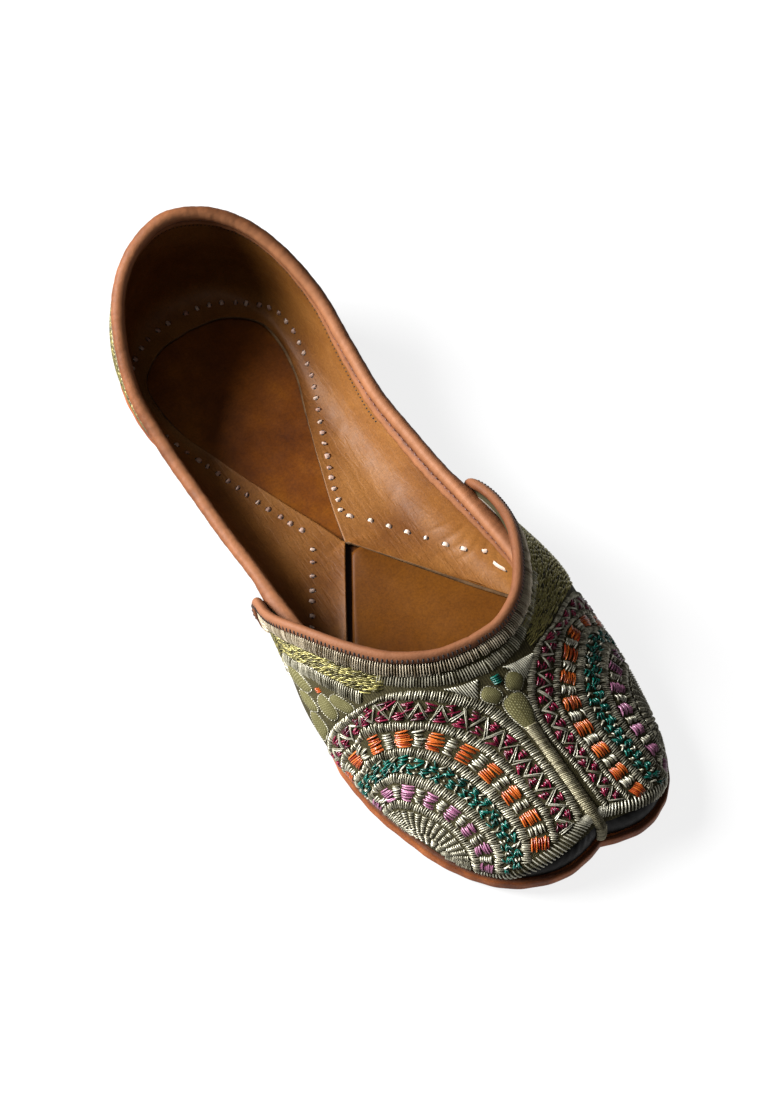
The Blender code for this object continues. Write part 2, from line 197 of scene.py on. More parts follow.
def edge_outward(foot):
    """The outward direction of the sole's right edge."""
    step = through(EDGE, foot + 0.2) - through(EDGE, foot - 0.2)
    side = point(step[..., 1], -step[..., 0], 0 * foot)
    return unit(np.where((foot < 0.01)[..., None], (0, -1, 0), side))


def edge_place(foot, inset, height):
    """Places inside the sole's right edge, at a height."""
    foot = np.asarray(foot, float)
    inset = np.asarray(inset, float) + 0 * foot
    flat = through(EDGE, foot)
    moved = point(flat[..., 0], flat[..., 1], height) - inset[..., None] * edge_outward(foot)
    moved[..., 0] = np.maximum(moved[..., 0], 0) * (foot > 0.01)
    return moved


def soft_step(t):
    """From 0 to 1 with a gentle start and end."""
    t = np.clip(t, 0, 1)
    return t * t * (3 - 2 * t)


def swing(y):
    """How far the centre line has swung to the wearer's left."""
    ahead = TOE_SWING * (np.maximum(45 - y, 0) / 165) ** 1.3
    return ahead + HEEL_SWING * (np.maximum(y - 45, 0) / 80) ** 2


def on_last(place, side=1):
    """Places on the straight last, in millimetres, as places on the finished shoe in metres."""
    x = place[..., 0] * side
    y = place[..., 1]
    z = place[..., 2]
    lean = soft_step((y + 85) / 30) * soft_step((60 - y) / 30) * soft_step((z - 24) / 12)
    swell = BALL_SWELL * soft_step(-x / 35) * soft_step((-20 - y) / 35)
    spring = TOE_SPRING * (np.maximum(-80 - y, 0) / 45) ** 2
    aside = swing(y) - THROAT_LEAN * lean - swell
    return point(x + aside - CENTRE_X, y - THROAT_SKEW * x * lean - CENTRE_Y, z + spring) * MM


print("the toe swings", round(float(swing(SOLE_HALF[0, 1])), 1), "mm to the wearer's left")

# %% [markdown]
# ## The upper's two surfaces
# The vamp is a family of arches from the sole's edge to the crown line over the toes, drawn out
# behind to meet the throat. The quarters are a low wall round the heel. Both are functions of
# how far along the sole's edge we are (foot) and how far up (share), so a thread, a seam or a
# whole cloth can be laid on them with the same two numbers.

# %% Vamp and quarter surfaces
UP = np.array((0.0, 0.0, 1.0))


def vamp_arch(foot, share, inset=VAMP_INSET):
    """The plain arch from the sole's edge up to the crown line."""
    foot, share = np.broadcast_arrays(np.asarray(foot, float), np.asarray(share, float))
    top_y, top_z, slope, belly, _ = np.moveaxis(through(CROWN_RIBS, foot), -1, 0)
    top = point(0 * top_y, top_y, top_z)
    bottom = edge_place(foot, inset, SOLE_TOP)
    outward = edge_outward(foot)
    fall_side = unit((bottom - top) * (1, 1, 0))
    blend = np.clip((foot - 40) / 60, 0, 1)[..., None]
    fall_side = unit(fall_side + blend * (outward - fall_side))
    slope = np.radians(slope)[..., None]
    reach = 0.45 * np.linalg.norm(top - bottom, axis=-1, keepdims=True)
    rise = 0.6 * (top_z - SOLE_TOP)[..., None]
    first = bottom + rise * UP + belly[..., None] * outward
    second = top + reach * (fall_side * np.cos(slope) - UP * np.sin(slope))
    s = share[..., None]
    lower = (1 - s) ** 3 * bottom + 3 * (1 - s) ** 2 * s * first
    return lower + 3 * (1 - s) * s**2 * second + s**3 * top


throat_start = vamp_arch(VAMP_END, 0.0)
THROAT = np.concatenate([[[0.0, *throat_start]], THROAT])


def vamp_place(foot, share, inset=VAMP_INSET):
    """The vamp's outer face on the straight last."""
    foot, share = np.broadcast_arrays(np.asarray(foot, float), np.asarray(share, float))
    pull = (np.maximum(foot - 50, 0) / (VAMP_END - 50))[..., None]
    drawn = through(THROAT, share) - vamp_arch(VAMP_END, share)
    return vamp_arch(foot, share, inset) + pull**2 * drawn


def vamp_hem(foot):
    """The height of the cloth's lower edge above the sole."""
    return np.maximum(through(CROWN_RIBS, foot)[..., 4], 0)


def topline_frame(foot):
    """The topline binding's middle, and the directions up the wall and out of it."""
    inset, x, y, z, belly = np.moveaxis(through(QUARTER_RIBS, foot), -1, 0)
    middle = point(x, y, z)
    bottom = edge_place(foot, inset, SOLE_TOP)
    outward = edge_outward(foot)
    climb = unit(middle - bottom - 4 * belly[..., None] * outward)
    across = unit(outward - climb * np.sum(outward * climb, axis=-1, keepdims=True))
    return middle, climb, across, bottom, outward, belly[..., None]


def quarter_place(foot, share, inside=0.0):
    """The quarters' wall on the straight last, a distance inside its outer face."""
    foot, share = np.broadcast_arrays(np.asarray(foot, float), np.asarray(share, float))
    middle, climb, across, bottom, outward, belly = topline_frame(foot)
    top = middle + WALL / 2 * across - WALL_TOP_GAP * climb
    s = share[..., None]
    wall = bottom + s * (top - bottom) + 4 * belly * s * (1 - s) * outward
    return wall - np.asarray(inside)[..., None] * across


def vamp_frame(side, foot, share):
    """Places on the finished vamp, with the direction straight out of the cloth."""
    foot = np.clip(foot, 0.4, VAMP_END - 0.4)
    share = np.clip(share, 0.004, 0.996)
    here = on_last(vamp_place(foot, share), side)
    ahead = on_last(vamp_place(foot + 0.3, share), side) - on_last(vamp_place(foot - 0.3, share), side)
    above = on_last(vamp_place(foot, share + 0.003), side)
    above = above - on_last(vamp_place(foot, share - 0.003), side)
    side = np.asarray(side, float) + 0 * foot
    return here, unit(np.cross(ahead, above)) * side[..., None]


crown_length = distances(vamp_place(np.arange(0, 160.0), 1.0))[-1]
print("crown line from throat to notch:", round(float(crown_length), 1), "mm")

# %% [markdown]
# ## Helpers for meshes
# A grid of places becomes a sheet, and a row of outlines becomes a closed solid. Sheets get
# their wall from Solidify. Each piece ends as an object at the origin, with its shape in its
# mesh, and rides on the one body of the frame.

# %% Mesh helpers
def new_piece(name, mesh, looks, nodes=()):
    """An object of the shoe, riding on its body, that may stand for CAD nodes."""
    piece = bpy.data.objects.new(name, mesh)
    bpy.context.scene.collection.objects.link(piece)
    mesh.materials.clear()
    for look in looks:
        mesh.materials.append(look)
    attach(piece, "root")
    if nodes:
        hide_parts(*nodes)
    print(f"{name}: {len(mesh.vertices)} corners, {len(mesh.polygons)} faces")
    return piece


def mesh_of(name, corners, faces, values=None, uv=None):
    """A smooth mesh, its doubles merged, with named values at its corners and a UV map."""
    mesh = bpy.data.meshes.new(name)
    mesh.from_pydata(corners.reshape(-1, 3).tolist(), [], faces)
    for key, numbers in (values or {}).items():
        mesh.attributes.new(key, "FLOAT", "POINT").data.foreach_set("value", np.ravel(numbers))
    if uv is not None:
        corner_of = np.zeros(len(mesh.loops), int)
        mesh.loops.foreach_get("vertex_index", corner_of)
        mesh.uv_layers.new(name="cloth").data.foreach_set("uv", uv.reshape(-1, 2)[corner_of].ravel())
    work = bmesh.new()
    work.from_mesh(mesh)
    bmesh.ops.remove_doubles(work, verts=work.verts, dist=0.004 * MM)
    bmesh.ops.dissolve_degenerate(work, edges=work.edges, dist=0.002 * MM)
    work.to_mesh(mesh)
    work.free()
    mesh.shade_smooth()
    return mesh


def grid_faces(columns, rows, around=False):
    """Faces of a grid of corners, the rows closed into rings if asked."""
    c, r = np.meshgrid(np.arange(columns - 1), np.arange(rows if around else rows - 1), indexing="ij")
    after = (r + 1) % rows
    quads = np.stack([c * rows + r, (c + 1) * rows + r, (c + 1) * rows + after, c * rows + after], axis=-1)
    return quads.reshape(-1, 4).tolist()


def sheet(name, corners, uv=None):
    """A sheet through a grid of places."""
    return mesh_of(name, corners, grid_faces(*corners.shape[:2]), uv=uv)


def loft(name, rings, values=None):
    """A closed solid through a row of outlines, which are rings of places."""
    columns, rows = rings.shape[:2]
    faces = grid_faces(columns, rows, around=True)
    faces.append(list(range(rows)))
    faces.append([(columns - 1) * rows + row for row in range(rows)][::-1])
    mesh = mesh_of(name, rings, faces, values)
    work = bmesh.new()
    work.from_mesh(mesh)
    bmesh.ops.recalc_face_normals(work, faces=work.faces)
    work.to_mesh(mesh)
    work.free()
    return mesh


def thicken(piece, thick, rim_look=0, inner_look=0):
    """A wall behind a sheet."""
    wall = piece.modifiers.new("Wall", "SOLIDIFY")
    wall.thickness = thick * MM
    wall.offset = -1
    wall.use_even_offset = True
    wall.material_offset = inner_look
    wall.material_offset_rim = rim_look


def both_sides(right):
    """A right half, its first axis running to the middle, followed by the mirrored left half."""
    left = right[::-1][1:]
    return np.concatenate([on_last(right, 1), on_last(left, -1)])


def round_toe(right):
    """A right half, its first axis starting at the notch, led in by the mirrored left half."""
    return np.concatenate([on_last(right[::-1], -1), on_last(right[1:], 1)])


print("mesh helpers ready")

# %% [markdown]
# ## Looks
# Leather is one colour seen through many small differences: blotches of dye, pores, fine
# creases, and a sheen that is uneven. One function builds that from noise on the object's own
# coordinates, so that the grain has a true size in millimetres. A value stored at the corners of
# some pieces brings in one more colour: paler where hands rub the bindings, darker along the
# sole's edge, and painted shade beside the insole's groove.

# %% Leather and thread looks
LAMP = 2.0


def add_node(tree, kind, inputs=None, **settings):
    """A shader node with its settings, and with values or links on its inputs."""
    made = tree.nodes.new(kind)
    for key, value in settings.items():
        setattr(made, key, value)
    for key, value in (inputs or {}).items():
        if isinstance(value, bpy.types.NodeSocket):
            tree.links.new(value, made.inputs[key])
        else:
            made.inputs[key].default_value = value
    return made


def maths(tree, operation, *values):
    """The result of one sum or product of values."""
    return add_node(tree, "ShaderNodeMath", dict(enumerate(values)), operation=operation).outputs[0]


def mix_tints(tree, factor, under, over, blend="MIX"):
    """Two colours mixed by a factor. A Mix node's colour sockets are the ones numbered here."""
    inputs = {0: factor, 6: under, 7: over}
    return add_node(tree, "ShaderNodeMix", inputs, data_type="RGBA", blend_type=blend).outputs[2]


def colour(red, green, blue):
    """A colour as it looks on a screen, from 0 to 255, for a shader under our strong lamp."""
    shares = np.array((red, green, blue)) / 255
    linear = np.where(shares <= 0.04045, shares / 12.92, ((shares + 0.055) / 1.055) ** 2.4)
    return (*(linear / LAMP).tolist(), 1.0)


def ramp_between(tree, factor, *stops):
    """A colour ramp through stops of place and colour."""
    made = add_node(tree, "ShaderNodeValToRGB", {"Fac": factor})
    elements = made.color_ramp.elements
    while len(elements) < len(stops):
        elements.new(0.5)
    for element, (place, tint) in zip(elements, stops):
        element.position = place
        element.color = tint
    return made.outputs["Color"]


def noise(tree, place, scale, detail=3.0, rough=0.55):
    """Noise of a scale, in features per metre."""
    inputs = {"Vector": place, "Scale": scale, "Detail": detail, "Roughness": rough}
    return add_node(tree, "ShaderNodeTexNoise", inputs).outputs["Fac"]


def bump_on(tree, height, strength, depth, under=None):
    """A bump of a depth in metres, on top of another."""
    inputs = {"Height": height, "Strength": strength, "Distance": depth}
    if under is not None:
        inputs["Normal"] = under
    return add_node(tree, "ShaderNodeBump", inputs).outputs["Normal"]


def new_look(name):
    """A material with its tree, its surface and the object's own coordinates."""
    look = bpy.data.materials.new(name)
    look.use_nodes = True
    tree = look.node_tree
    place = add_node(tree, "ShaderNodeTexCoord").outputs["Object"]
    return look, tree, tree.nodes["Principled BSDF"], place


def leather(name, deep, middle, light, grain, blotch, gloss, shine, depth=0.00012, coat=0.0,
            edge_tone_and_shade=None, creases=0.0):
    """Leather dyed in three screen colours, with pores, fine creases and an uneven sheen."""
    look, tree, surface, place = new_look(name)
    dye = noise(tree, place, blotch, 4.0, 0.6)
    tint = ramp_between(tree, dye, (0.30, colour(*deep)), (0.52, colour(*middle)), (0.76, colour(*light)))
    speck = noise(tree, place, grain * 2.2, 3.0, 0.7)
    fleck = ramp_between(tree, speck, (0.35, (0.72, 0.72, 0.72, 1)), (0.62, (1.12, 1.12, 1.12, 1)))
    tint = mix_tints(tree, 0.75, tint, fleck, "MULTIPLY")
    # one more colour from a stored value: rubbed tone on bindings, a dark line on the sole's edge, painted
    # shade by the insole's groove
    if edge_tone_and_shade is not None:
        tone_and_shade_amount = add_node(tree, "ShaderNodeAttribute", attribute_name="edge_tone_and_shade").outputs["Fac"]
        tint = mix_tints(tree, tone_and_shade_amount, tint, colour(*edge_tone_and_shade))
    tree.links.new(tint, surface.inputs["Base Color"])
    cells = add_node(tree, "ShaderNodeTexVoronoi", {"Vector": place, "Scale": grain}, feature="F1")
    normal = bump_on(tree, cells.outputs["Distance"], 0.35, depth)
    normal = bump_on(tree, speck, 0.4, depth * 0.8, normal)
    normal = bump_on(tree, dye, 0.3, depth * 5, normal)
    if creases:
        stretch = add_node(tree, "ShaderNodeMapping",
                           {"Vector": place, "Rotation": (0, 0, 0.55), "Scale": (520, 110, 300)})
        folds = noise(tree, stretch.outputs["Vector"], 1.0, 2.0, 0.5)
        sharp = ramp_between(tree, folds, (0.44, (0, 0, 0, 1)), (0.52, (1, 1, 1, 1)))
        normal = bump_on(tree, sharp, creases, 0.00018, normal)
    tree.links.new(normal, surface.inputs["Normal"])
    patchy = noise(tree, place, blotch * 6, 2.0)
    rough = add_node(tree, "ShaderNodeMapRange",
                     {"Value": patchy, "To Min": gloss - 0.10, "To Max": gloss + 0.14})
    tree.links.new(rough.outputs["Result"], surface.inputs["Roughness"])
    surface.inputs["Coat Weight"].default_value = coat
    surface.inputs["Coat Roughness"].default_value = 0.28
    surface.inputs["Specular IOR Level"].default_value = shine
    return look


def thread(name, deep, light, metal, gloss):
    """Thread whose stitches vary between two screen colours, with a fine twist."""
    look, tree, surface, place = new_look(name)
    shade = add_node(tree, "ShaderNodeAttribute", attribute_name="shade").outputs["Fac"]
    glint = noise(tree, place, 1500, 2.0, 0.6)
    half = maths(tree, "MULTIPLY", maths(tree, "ADD", shade, glint), 0.5)
    tint = ramp_between(tree, half, (0.20, colour(*deep)), (0.80, colour(*light)))
    tree.links.new(tint, surface.inputs["Base Color"])
    tree.links.new(bump_on(tree, glint, 0.5, 0.00015), surface.inputs["Normal"])
    surface.inputs["Metallic"].default_value = metal
    surface.inputs["Roughness"].default_value = gloss
    return look


print("look helpers ready")

# %% [markdown]
# ## The sole
# The sole is one thick slab of brown leather. Its edge is cut by hand, a little rounded above and
# below, and it has a small notch between the two lobes of the toe. We cut it across into many
# outlines, from the notch to the heel, and loft through them. The lines across bend near the
# notch, so that the two lobes stay apart.

# %% Make the sole
DARK_TAN = (58, 30, 14)
SOLE_ACROSS = 14
NOTCH_DIP = np.array(((0, 0.0), (5, 2.2), (14, 4.8), (26, 2.7), (41, 0.8), (60, 0.0), (400, 0.0)))
SOLE_PROFILE = ((1.2, 0.0), (0.45, 0.12), (0.1, 0.5), (0.0, 1.2), (0.05, 2.3), (0.02, 3.3),
                (0.12, 4.2), (0.4, 4.7), (1.2, 5.0))


def slab_rings(feet, inset, profile, across):
    """Outlines across a slab: along the bottom, up the right edge, back over the top, down the left."""
    dip = np.interp(feet, NOTCH_DIP[:, 0], NOTCH_DIP[:, 1])
    fractions = np.linspace(-1, 1, across)[1:-1]

    def line(edge_inset, height, order):
        edge = edge_place(feet, inset + edge_inset, height)
        x = edge[:, None, 0] * order
        y = edge[:, None, 1] + dip[:, None] * (1 - order**2)
        return on_last(point(x, y, height))

    def climb(order, side):
        rows = [edge_place(feet, inset + step[0], step[1]) for step in order]
        return on_last(np.stack(rows, axis=1), side)

    bottom = line(profile[0][0], profile[0][1], fractions)
    top = line(profile[-1][0], profile[-1][1], -fractions)
    return np.concatenate([bottom, climb(profile, 1), top, climb(profile[::-1], -1)], axis=1)


sole_feet = np.concatenate([np.linspace(0, 45, 61), np.linspace(45, HEEL_FOOT, 170)[1:]])
hand_cut = 0.10 * np.sin(sole_feet * 0.31) + 0.07 * np.sin(sole_feet * 0.83 + 1)
hand_cut *= np.clip(sole_feet / 10, 0, 1)
sole_rings = slab_rings(sole_feet, hand_cut, SOLE_PROFILE, SOLE_ACROSS)
sole_dark = np.zeros(sole_rings.shape[:2])
top_right = SOLE_ACROSS - 2 + len(SOLE_PROFILE) - 1
top_left = top_right + SOLE_ACROSS - 1
sole_dark[:, top_right - 2:top_right + 1] = (0.25, 0.7, 0.9)
sole_dark[:, top_left:top_left + 3] = (0.9, 0.7, 0.25)
SOLE_LOOK = leather("sole_leather", (118, 56, 20), (166, 90, 40), (196, 114, 56), grain=700,
                    blotch=120, gloss=0.55, shine=0.12, edge_tone_and_shade=DARK_TAN)
sole_mesh = loft("sole_slab", sole_rings, {"edge_tone_and_shade": sole_dark})
new_piece("sole_slab", sole_mesh, [SOLE_LOOK], ["outsole"])

# %% [markdown]
# ## The insole
# Inside, a thin leather insole covers the sole. Under the toes a second, amber sheet lies on it.
# Its left edge stops short of the lining's flap, which leaves a dark groove, and its right edge
# runs under the other flap. Painted shade darkens the insole along that groove.

# %% Make the insole
Y_POINT = 11.2
ARM_SPREAD = 0.69
INSOLE_PROFILE = ((0.6, 5.3), (0.1, 5.5), (0.0, 6.1), (0.15, 6.6), (0.7, 6.9))
insole_feet = np.concatenate([np.linspace(8, 50, 50), np.linspace(50, HEEL_FOOT, 130)[1:]])
insole_inset = through(INSOLE_INSETS, insole_feet)[:, 0]
insole_rings = slab_rings(insole_feet, insole_inset, INSOLE_PROFILE, across=60)
straight_x = insole_rings[..., 0] / MM + CENTRE_X
straight_y = insole_rings[..., 1] / MM + CENTRE_Y
# painted shade: the insole darkens in a band along the groove beside the left flap
groove_x = -ARM_SPREAD * (Y_POINT - straight_y) + swing(straight_y)
painted_groove_shade = np.exp(-(((straight_x - groove_x - 1.0) / 2.2) ** 2)) * (straight_y < Y_POINT + 2)
# the insole's fourth, near-black colour is the painted shade of that band
INSOLE_LOOK = leather("insole_leather", (78, 36, 5), (112, 59, 9), (144, 84, 16), grain=520,
                      blotch=38, gloss=0.45, shine=0.14, depth=0.00006, coat=0.02, edge_tone_and_shade=(24, 8, 1))
insole_mesh = loft("insole", insole_rings, {"edge_tone_and_shade": painted_groove_shade})
new_piece("insole_board", insole_mesh, [INSOLE_LOOK], ["insole"])

# %% Make the forepart sheet
SHEET_TOP = 8.1
sheet_y = np.linspace(-104, 7.0, 90)
side_feet = np.interp(sheet_y, straight_y[:, 0], insole_feet)
reach = edge_place(side_feet, through(INSOLE_INSETS, side_feet)[:, 0] + 0.8, 0.0)[:, 0]
arm = ARM_SPREAD * (Y_POINT - sheet_y)
left_x = np.maximum(2.5 - arm, -reach)
right_x = np.minimum(arm + 1.5, reach)
across = np.linspace(0, 1, 34)
sheet_x = left_x[:, None] + (right_x - left_x)[:, None] * across
crown = 0.45 * np.sin(np.pi * across) + 0.18 * np.sin(sheet_x / 5.1 + sheet_y[:, None] / 17)
sheet_z = SHEET_TOP + crown - 0.55 * np.clip(1 - (sheet_x - left_x[:, None]) / 1.1, 0, 1) ** 2
sheet_corners = on_last(point(sheet_x, sheet_y[:, None], sheet_z))
FOREPART_LOOK = leather("forepart_leather", (86, 45, 7), (102, 58, 10), (118, 70, 16), grain=620,
                        blotch=30, gloss=0.5, shine=0.1, depth=0.00006)
forepart_mesh = sheet("forepart_sheet", sheet_corners)
forepart_mesh.flip_normals()
forepart = new_piece("forepart_sheet", forepart_mesh, [FOREPART_LOOK])
thicken(forepart, 1.0)

# %% [markdown]
# ## The lining and its flaps
# The lining is the leather that a foot touches. It comes down inside the quarters, bends onto
# the floor, and ends in two flaps. They leave a spade-shaped window over the heel, meet at one
# point under the arch, and spread apart again in front. One sheet does all of this: for every
# place round the wall, a line runs down, round the bend and over the floor to the flap's edge.
# A few creases are listed where the wall bends onto the floor.

# %% Make the lining
LINING_INSIDE = 1.8
FLAP_TOP = 8.0
BEND = 6.0
ARM_FOOT = 110.0
MEET_FOOT = 160.0
SPADE = np.array(((0.0, 11.2), (3.4, 22.0), (9.3, 38.0), (16.5, 58.0), (21.6, 72.0), (23.6, 84.0),
                  (22.0, 95.6), (12.3, 103.7), (0.0, 105.7)))
spade_far = distances(SPADE)
SPADE = np.column_stack([spade_far / spade_far[-1], SPADE])
# side, foot and height of both ends in millimetres, half breadth, depth
CREASES = np.array((
    (1, 122, 13, 127, 30, 0.8, 0.30), (1, 127, 9, 131, 27, 0.7, 0.26), (1, 132, 12, 134, 25, 0.8, 0.22),
    (1, 137, 6, 137, 22, 0.7, 0.24), (1, 142, 8, 140, 24, 0.9, 0.22), (1, 147, 12, 143, 27, 0.8, 0.20),
    (1, 153, 14, 148, 26, 0.9, 0.18), (1, 166, 16, 172, 27, 1.0, 0.20), (1, 196, 8, 204, 20, 1.2, 0.22),
    (-1, 126, 14, 131, 29, 0.8, 0.24), (-1, 134, 10, 136, 26, 0.8, 0.22), (-1, 143, 8, 141, 24, 0.9, 0.22),
    (-1, 152, 13, 158, 26, 0.9, 0.20), (-1, 181, 12, 188, 24, 1.1, 0.20), (1, 252, 10, 258, 21, 1.3, 0.25),
    (-1, 250, 9, 256, 22, 1.3, 0.25), (1, 276, 9, 280, 18, 1.2, 0.22)))


def flap_edge(foot):
    """Where the lining's flap ends, seen from this place round the wall."""
    outer = np.array((34.6, Y_POINT - 34.6 / ARM_SPREAD))
    t = np.clip((foot - ARM_FOOT) / (MEET_FOOT - ARM_FOOT), 0, 1)[:, None]
    arm_place = outer + t * (np.array((0, Y_POINT)) - outer)
    window = through(SPADE, np.clip((foot - MEET_FOOT) / (HEEL_FOOT - MEET_FOOT), 0, 1))
    flat = np.where((foot < MEET_FOOT)[:, None], arm_place, window)
    return point(flat[:, 0], flat[:, 1], FLAP_TOP)


def lining_lines(foot, wall_rows=28, bend_rows=16, floor_rows=28):
    """Lines down the wall, round the bend and over the floor."""
    low_z = quarter_place(foot, 0.0)[:, 2]
    rise = quarter_place(foot, 1.0)[:, 2] - low_z
    from_share = ((FLAP_TOP + BEND - low_z) / rise)[:, None]
    down = np.linspace(1, 0, wall_rows)
    shares = from_share + (1.0 - from_share) * down
    wall = quarter_place(foot[:, None], shares, LINING_INSIDE)
    corner = quarter_place(foot, (FLAP_TOP - low_z) / rise, LINING_INSIDE)
    edge = flap_edge(foot)
    room = np.linalg.norm(edge - corner, axis=1)
    ease = np.minimum(1.2 * BEND / np.maximum(room, 0.1), 0.75)[:, None]
    landing = corner + ease * (edge - corner)
    t = np.linspace(0, 1, bend_rows + 1)[1:, None]
    start = wall[:, -1:]
    bend = (1 - t) ** 2 * start + 2 * t * (1 - t) * corner[:, None] + t**2 * landing[:, None]
    t = np.linspace(0, 1, floor_rows + 1)[1:, None]
    floor = landing[:, None] + t * (edge - landing)[:, None]
    curl = np.where(foot < MEET_FOOT, 1.1, 0.3)[:, None]
    floor[..., 2] += curl * (t[:, 0] ** 3) + 0.12 * np.sin(foot / 4.3)[:, None] * t[:, 0]
    return np.concatenate([wall, bend, floor], axis=1)


lining_feet = np.concatenate([np.linspace(ARM_FOOT, MEET_FOOT, 66),
                              np.linspace(MEET_FOOT, HEEL_FOOT, 126)[1:]])
right_lines = lining_lines(lining_feet)
from_edge = distances(right_lines[:, ::-1])[:, ::-1]


def creased(lines, side):
    """Lining lines pressed in along the listed creases of one side."""
    along = np.gradient(lines, axis=0)
    down = np.gradient(lines, axis=1)
    inward = unit(np.cross(along, down))
    pressed = np.zeros(lines.shape[:2])
    for _, foot_a, low_a, foot_b, low_b, breadth, depth in CREASES[CREASES[:, 0] == side]:
        run = np.array((foot_b - foot_a, low_b - low_a))
        x = lining_feet[:, None] - foot_a
        y = from_edge - low_a
        t = np.clip((x * run[0] + y * run[1]) / (run @ run), 0, 1)
        off = np.hypot(x - t * run[0], y - t * run[1])
        pressed += depth * np.exp(-((off / breadth) ** 2)) * np.sin(np.pi * np.clip(t, 0.08, 0.92))
    return lines - pressed[..., None] * inward


right_lining = on_last(creased(right_lines, 1))
left_lining = on_last(creased(right_lines, -1)[::-1][1:], -1)
LINING_LOOK = leather("lining_leather", (102, 56, 14), (132, 82, 31), (155, 103, 48), grain=800,
                      blotch=36, gloss=0.56, shine=0.18, depth=0.00009, creases=0.3)
CUT_EDGE_LOOK = leather("cut_edge_leather", (64, 44, 26), (96, 70, 44), (120, 92, 62), grain=1200,
                        blotch=200, gloss=0.7, shine=0.1)
lining_mesh = sheet("lining", np.concatenate([right_lining, left_lining]))
lining = new_piece("quarter_lining", lining_mesh, [LINING_LOOK, CUT_EDGE_LOOK],
                   ["upper_quarters"])
thicken(lining, 1.0, rim_look=1)

# %% [markdown]
# ## The embroidered cloth
# The outside of the shoe is a firm cloth, dark olive, that almost disappears under its threads.
# It shows only in the gaps, so its weave is a bump and two shades. The vamp's grid is folded
# over the crown line and merged there. Inside, the vamp is lined with pale leather.

# %% Make the vamp and quarter cloths
def woven(name, deep, light, threads=0.5, direction="X"):
    """A firm weave of two screen colours, read on the cloth's own map in millimetres."""
    look, tree, surface, place = new_look(name)
    spread = add_node(tree, "ShaderNodeUVMap", uv_map="cloth").outputs["UV"]
    inputs = {"Vector": spread, "Scale": threads, "Distortion": 0.6}
    warp = add_node(tree, "ShaderNodeTexWave", inputs, bands_direction=direction).outputs["Fac"]
    weft = add_node(tree, "ShaderNodeTexWave", inputs, bands_direction="Y").outputs["Fac"]
    weave = maths(tree, "MULTIPLY", warp, weft)
    dusty = maths(tree, "MULTIPLY", weave, noise(tree, place, 260, 3.0))
    tint = ramp_between(tree, dusty, (0.05, colour(*deep)), (0.6, colour(*light)))
    tree.links.new(tint, surface.inputs["Base Color"])
    tree.links.new(bump_on(tree, weave, 0.7, 0.0002), surface.inputs["Normal"])
    surface.inputs["Roughness"].default_value = 0.8
    surface.inputs["Specular IOR Level"].default_value = 0.1
    return look


CLOTH_LOOK = woven("dark_olive_cloth", (56, 51, 30), (114, 106, 68))
VAMP_LINING_LOOK = leather("vamp_lining_leather", (124, 112, 100), (164, 154, 142), (192, 184, 174),
                           grain=800, blotch=40, gloss=0.6, shine=0.1)


def share_at_height(foot, height, inset=VAMP_INSET):
    """How far up its rib each place first reaches this height above the sole."""
    low = 0 * foot
    high = 0 * foot + 1
    for _ in range(24):
        middle = (low + high) / 2
        under = vamp_place(foot, middle, inset)[..., 2] - SOLE_TOP < height
        low = np.where(under, middle, low)
        high = np.where(under, high, middle)
    return low * (height > 0)


vamp_feet = np.concatenate([np.linspace(0, 36, 31), np.linspace(36, VAMP_END, 84)[1:]])
vamp_rows = np.linspace(0, 1, 52)
hem_share = share_at_height(vamp_feet, vamp_hem(vamp_feet))
vamp_shares = hem_share[:, None] + (1 - hem_share[:, None]) * vamp_rows
vamp_half = vamp_place(vamp_feet[:, None], vamp_shares)
half_map = np.stack(np.broadcast_arrays(vamp_feet[:, None], vamp_shares * 60), axis=-1)
vamp_map = np.concatenate([half_map[::-1] * (-1, 1), half_map[1:]])
vamp_mesh = sheet("vamp_cloth", round_toe(vamp_half), vamp_map)
vamp = new_piece("vamp_cloth", vamp_mesh, [CLOTH_LOOK, VAMP_LINING_LOOK],
                 ["upper_vamp"])
thicken(vamp, WALL, inner_look=1)

quarter_feet = np.linspace(ARM_FOOT, HEEL_FOOT, 110)
quarter_rows = np.linspace(0, 1, 24)
quarter_half = quarter_place(quarter_feet[:, None], quarter_rows)
quarter_map = np.stack(np.broadcast_arrays(quarter_feet[:, None], quarter_rows * 30), axis=-1)
quarter_map = np.concatenate([quarter_map, quarter_map[::-1][1:]])
quarter_mesh = sheet("quarter_cloth", both_sides(quarter_half), quarter_map)
quarter_cloth = new_piece("quarter_cloth", quarter_mesh, [CLOTH_LOOK])
thicken(quarter_cloth, 0.7)

# %% [markdown]
# ## The black toe band
# Between the embroidery and the sole, bare black leather shows round the toe. It is smooth and
# pulled tight, with small puckers beside the notch. The puckers are in the mesh, because their
# highlights bend with them.

# %% Make the toe band
BAND_REACH = 31.0
band_feet = np.linspace(0, BAND_REACH, 80)
band_top = share_at_height(band_feet, np.maximum(vamp_hem(band_feet) + 0.3, 0.05), VAMP_INSET + 0.5)
band_rows = np.linspace(0, 1, 26)
band_half = vamp_place(band_feet[:, None], band_top[:, None] * band_rows, VAMP_INSET + 0.5)
pucker = 0.16 * np.sin(band_feet * 1.9) * np.exp(-band_feet / 14) + 0.08 * np.sin(band_feet * 0.7 + 1)
pucker = pucker[:, None] * np.sin(np.pi * band_rows)
band_half = band_half + pucker[..., None] * edge_outward(band_feet)[:, None]
BLACK_LOOK = leather("black_leather", (8, 6, 6), (15, 12, 11), (26, 20, 18), grain=1100, blotch=70,
                     gloss=0.45, shine=0.06, depth=0.00006, coat=0.02)
band_mesh = sheet("toe_band", round_toe(band_half))
band = new_piece("toe_band_leather", band_mesh, [BLACK_LOOK], ["toe_band"])
thicken(band, 1.4)

